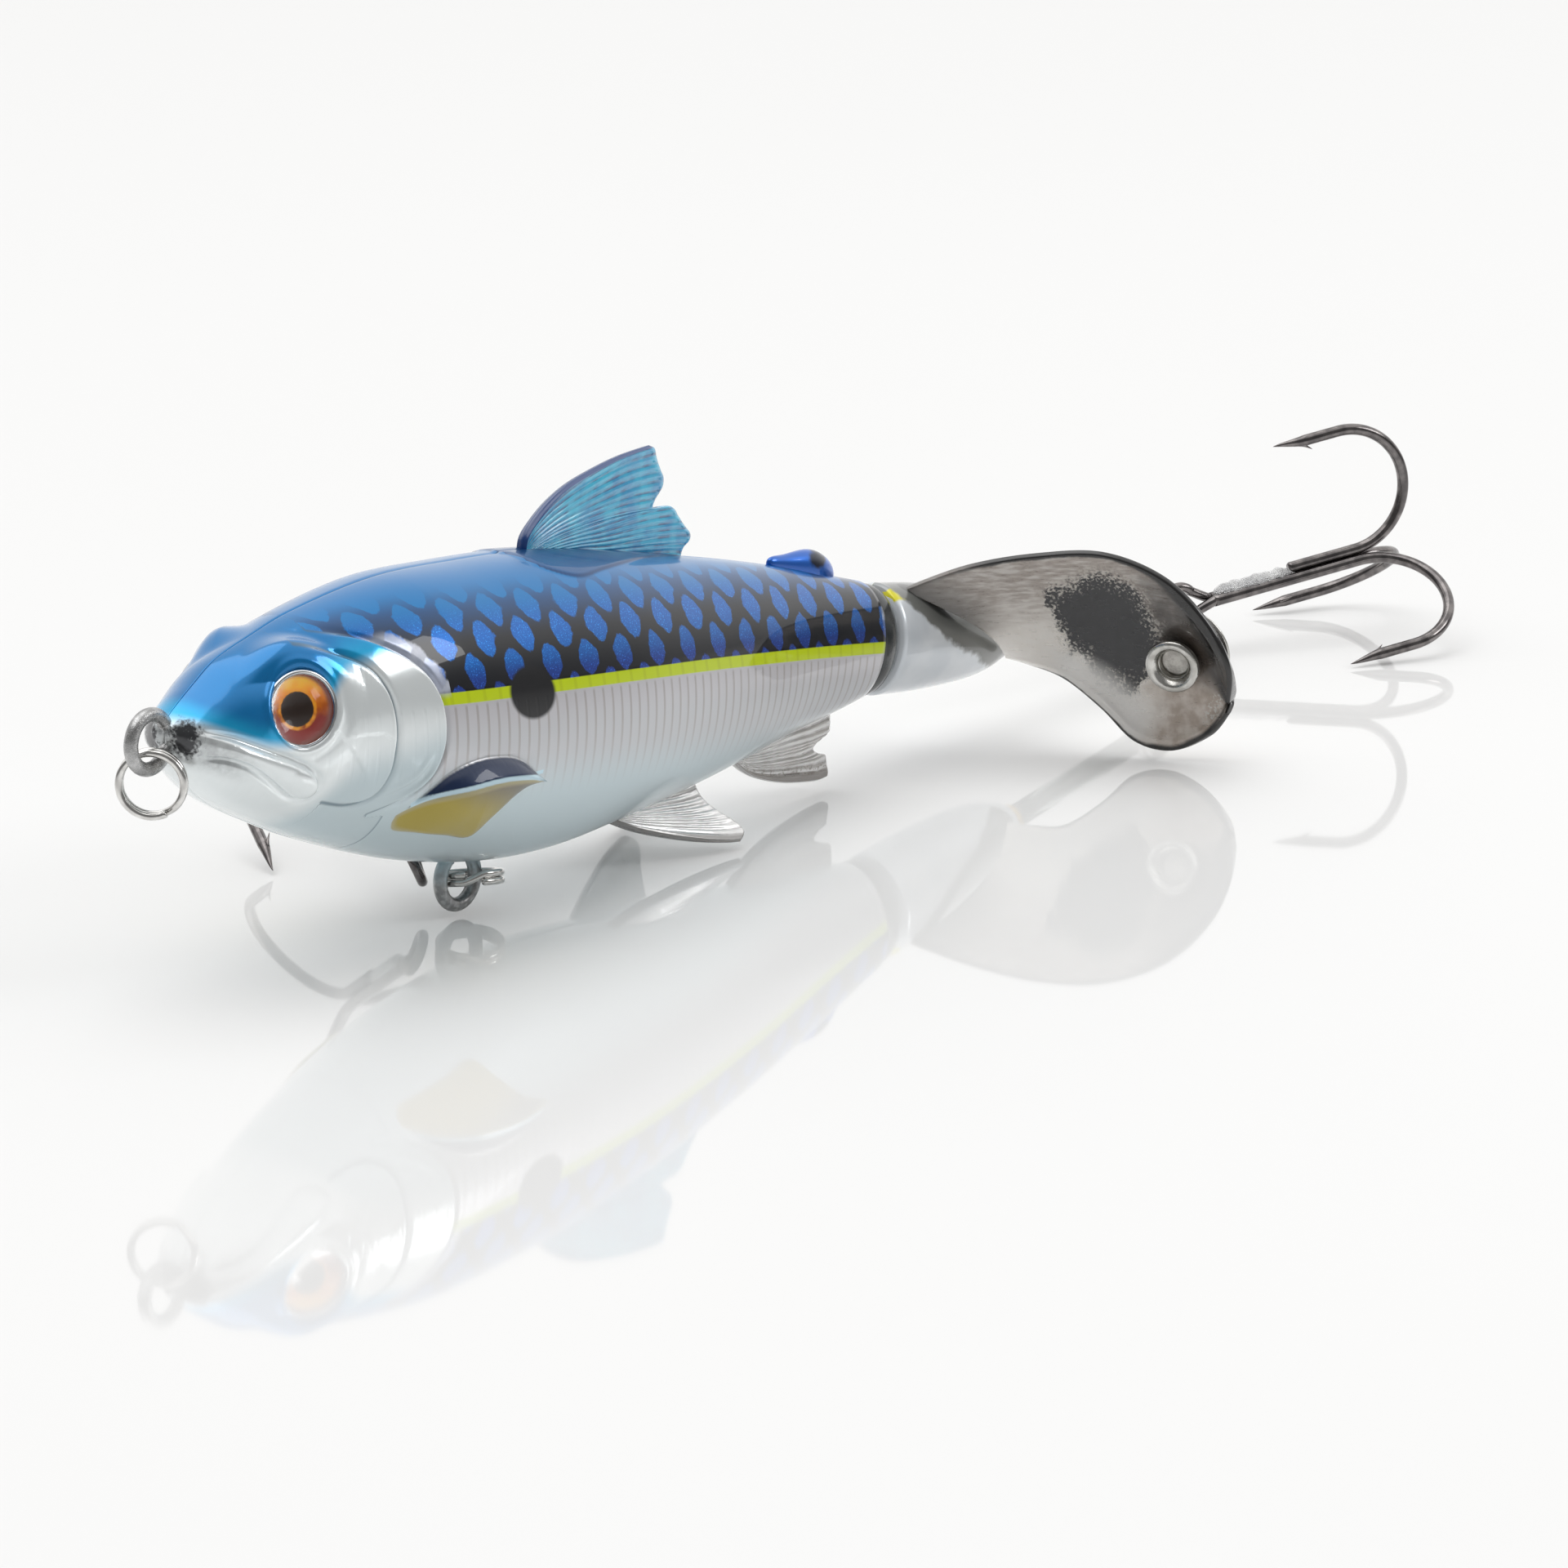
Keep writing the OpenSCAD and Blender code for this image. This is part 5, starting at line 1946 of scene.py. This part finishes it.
    def build_rivet(self) -> None:
        """Builds the rolled tubular rivet, its dull plug and the domed disc behind the blade."""
        axes = axes_along(self.rivet_at, self.rivet_way)
        rivet = Draft()
        curl = np.radians(np.linspace(60, -150, 16))
        roll = [(2.30 + 0.50 * math.cos(a), -1.30 + 0.46 * math.sin(a)) for a in curl]
        throat = [(1.74, -1.4), (1.6, -1.2), (1.50, -0.9), (1.46, 0.25)]
        rivet.lathe([(1.5, 1.3), (1.5, -1.0), *roll, *throat], axes)
        rivet.piece("rivet_rolled", RIVET_NICKEL, "tail", "rivet_nickel", ["blade_rivet"])
        plug = Draft()
        plug.lathe([(1.50, -0.05), (1.36, -0.30), (1.24, -0.26), (0.7, -0.22), (0.001, -0.20)], axes, 40)
        plug.piece("rivet_plug", DULL_NICKEL, "tail", "rivet_nickel")
        disc = Draft()
        rise = np.radians(np.linspace(0, 90, 26))
        dome = [(4.9 * math.cos(a), 2.0 + 1.3 * math.sin(a)) for a in rise]
        seat = [(0.001, 1.42), (1.5, 1.42), (1.5, 1.82), (4.75, 1.82), (4.88, 1.9)]
        disc.lathe([*seat, *dome[:-1], (0.001, 3.3)], axes, 90)
        disc.piece("rivet_dome", RIVET_NICKEL, "tail", "rivet_nickel", ["rivet_disc"])


@dataclass
class InnerParts:
    """The part's own pieces inside the body and the tail, dressed where they are."""

    finishes: dict[str, Finish] = field(
        default_factory=lambda: {
            "ballast_weight": CAST,
            "rattle_tube": CLEAR_TUBE,
            "rattle_plug": CLEAR_TUBE,
            "rattle_balls": BALL_STEEL,
            "shaft_anchor": BRASS,
            "thrust_washer_front": BRASS,
            "thrust_washer_rear": BRASS,
            "tail_bush_front": BRASS,
            "tail_bush_rear": BRASS,
        }
    )

    def dress(self) -> None:
        """Gives each inner piece its finish."""
        for node, finish in self.finishes.items():
            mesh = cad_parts[node].data
            mesh.materials.clear()
            mesh.materials.append(finish.material())
            log.info("%s: finish %s", node, finish.name)


@dataclass
class Studio:
    """The white table, the soft lights and the camera."""

    camera_at: tuple = (-0.8146, -0.7119, 0.2868)
    bearing: float = 51.9157
    dip: float = 15.094
    roll: float = -0.57244
    lens: float = 281.25
    floor_half: float = 6.0
    sky: float = 1.0
    dim: float = 0.20
    dim_until: float = 0.25
    bright_from: float = 0.95
    top_watts: float = 3.2
    side_watts: float = 1.7

    def build(self) -> None:
        """Builds the whole set."""
        self.build_floor()
        self.build_lights()
        self.build_camera()

    def build_floor(self) -> None:
        """Builds the table top."""
        h = self.floor_half
        mesh = bpy.data.meshes.new("table_top")
        z = -TABLE_DROP / 1000 - 0.0004
        mesh.from_pydata([(-h, -h, z), (h, -h, z), (h, h, z), (-h, h, z)], [], [(0, 1, 2, 3)])
        mesh.materials.append(GlossFloor("table_gloss").material())
        floor = bpy.data.objects.new("table_top", mesh)
        bpy.context.scene.collection.objects.link(floor)

    def soft_box(self, name: str, at: Sequence[float], size: tuple[float, float], watts: float) -> None:
        """Adds one soft box that looks at the bait.

        Args:
            name: Its name.
            at: Where it stands, in metres.
            size: Its width and height in metres.
            watts: Its power.
        """
        light = bpy.data.lights.new(name, "AREA")
        light.shape = "RECTANGLE"
        light.size, light.size_y = size
        light.energy = watts
        lamp = bpy.data.objects.new(name, light)
        lamp.location = at
        lamp.rotation_euler = (Vector((0.07, 0, -0.01)) - Vector(at)).to_track_quat("-Z", "Y").to_euler()
        bpy.context.scene.collection.objects.link(lamp)

    def build_lights(self) -> None:
        """Builds the surroundings, bright above and behind the bait and dim in front, and two soft boxes."""
        world = bpy.data.worlds.new("studio_tent")
        bpy.context.scene.world = world
        world.use_nodes = True
        tree = world.node_tree
        where = tree.nodes.new("ShaderNodeTexCoord")
        away = tree.nodes.new("ShaderNodeVectorMath")
        away.operation = "DOT_PRODUCT"
        bearing = math.radians(self.bearing)
        away.inputs[1].default_value = (math.sin(bearing), math.cos(bearing), 1.2)
        tree.links.new(where.outputs["Generated"], away.inputs[0])
        ramp = tree.nodes.new("ShaderNodeMapRange")
        ramp.interpolation_type = "SMOOTHSTEP"
        ramp.inputs["From Min"].default_value = self.dim_until
        ramp.inputs["From Max"].default_value = self.bright_from
        ramp.inputs["To Min"].default_value = self.dim
        ramp.inputs["To Max"].default_value = self.sky
        tree.links.new(away.outputs["Value"], ramp.inputs["Value"])
        tree.links.new(ramp.outputs["Result"], tree.nodes["Background"].inputs["Strength"])
        tree.nodes["Background"].inputs["Color"].default_value = (1.0, 0.997, 0.99, 1.0)
        self.soft_box("top_box", (-0.05, 0.15, 0.95), (1.1, 0.8), self.top_watts)
        self.soft_box("side_box", (0.60, -0.74, 0.50), (0.40, 0.32), self.side_watts)

    def build_camera(self) -> None:
        """Sets up the camera at its bearing, dip and roll."""
        bearing, dip, roll = (math.radians(a) for a in (self.bearing, self.dip, self.roll))
        ahead = np.array([math.sin(bearing), math.cos(bearing), 0.0])
        right = np.array([math.cos(bearing), -math.sin(bearing), 0.0])
        look = ahead * math.cos(dip) - np.array([0, 0, math.sin(dip)])
        up = ahead * math.sin(dip) + np.array([0, 0, math.cos(dip)])
        turned_right = right * math.cos(roll) + up * math.sin(roll)
        turned_up = up * math.cos(roll) - right * math.sin(roll)
        data = bpy.data.cameras.new("camera")
        data.lens = self.lens
        data.sensor_width = 36.0
        data.clip_end = 60.0
        camera = bpy.data.objects.new("camera", data)
        columns = np.stack([turned_right, turned_up, -look], 1)
        camera.matrix_world = Matrix.Translation(self.camera_at) @ Matrix(columns.tolist()).to_4x4()
        bpy.context.scene.collection.objects.link(camera)
        bpy.context.scene.camera = camera
        bpy.context.scene.view_settings.view_transform = "Standard"


def split_rings() -> list[SplitRing]:
    """The three split rings.

    Returns:
        The nose, belly and tail rings.
    """
    places = {
        "nose": ((0.2, 0, 22), (0.84, 0.54, 0), 2.4),
        "belly": ((45.44, -0.02, 2.98), (0.145, 0.166, 0.975), 0.0),
        "tail": ((158.11, 0.94, 5.06), (0, 0, 1), 1.0),
    }
    return [
        SplitRing(f"{place}_ring_wound", f"{place}_split_ring", f"{place}_ring", centre, axis, start=start)
        for place, (centre, axis, start) in places.items()
    ]


def trebles() -> list[Treble]:
    """Both treble hooks.

    Returns:
        The belly hook and the tail hook.
    """
    return [
        Treble("belly", (43.245, 4.93, 3.96), (0.452, 0.768, 0.453), (-0.356, 0.621, -0.698), eye_roll=-60),
        Treble("tail", (162.77, 2.52, 4.9), (0.859, -0.487, 0.158), (-0.141, 0.073, 0.987)),
    ]


def main() -> None:
    """Builds the bait and its set in order."""
    logging.basicConfig(level=logging.INFO, format="%(message)s")
    Studio().build()
    Shells().build()
    Eyes().build()
    for fin in fins():
        fin.build()
    Wires().build()
    Tail().build()
    for ring in split_rings():
        ring.build()
    for treble in trebles():
        treble.build()
    InnerParts().dress()


if __name__ == "__main__":
    main()
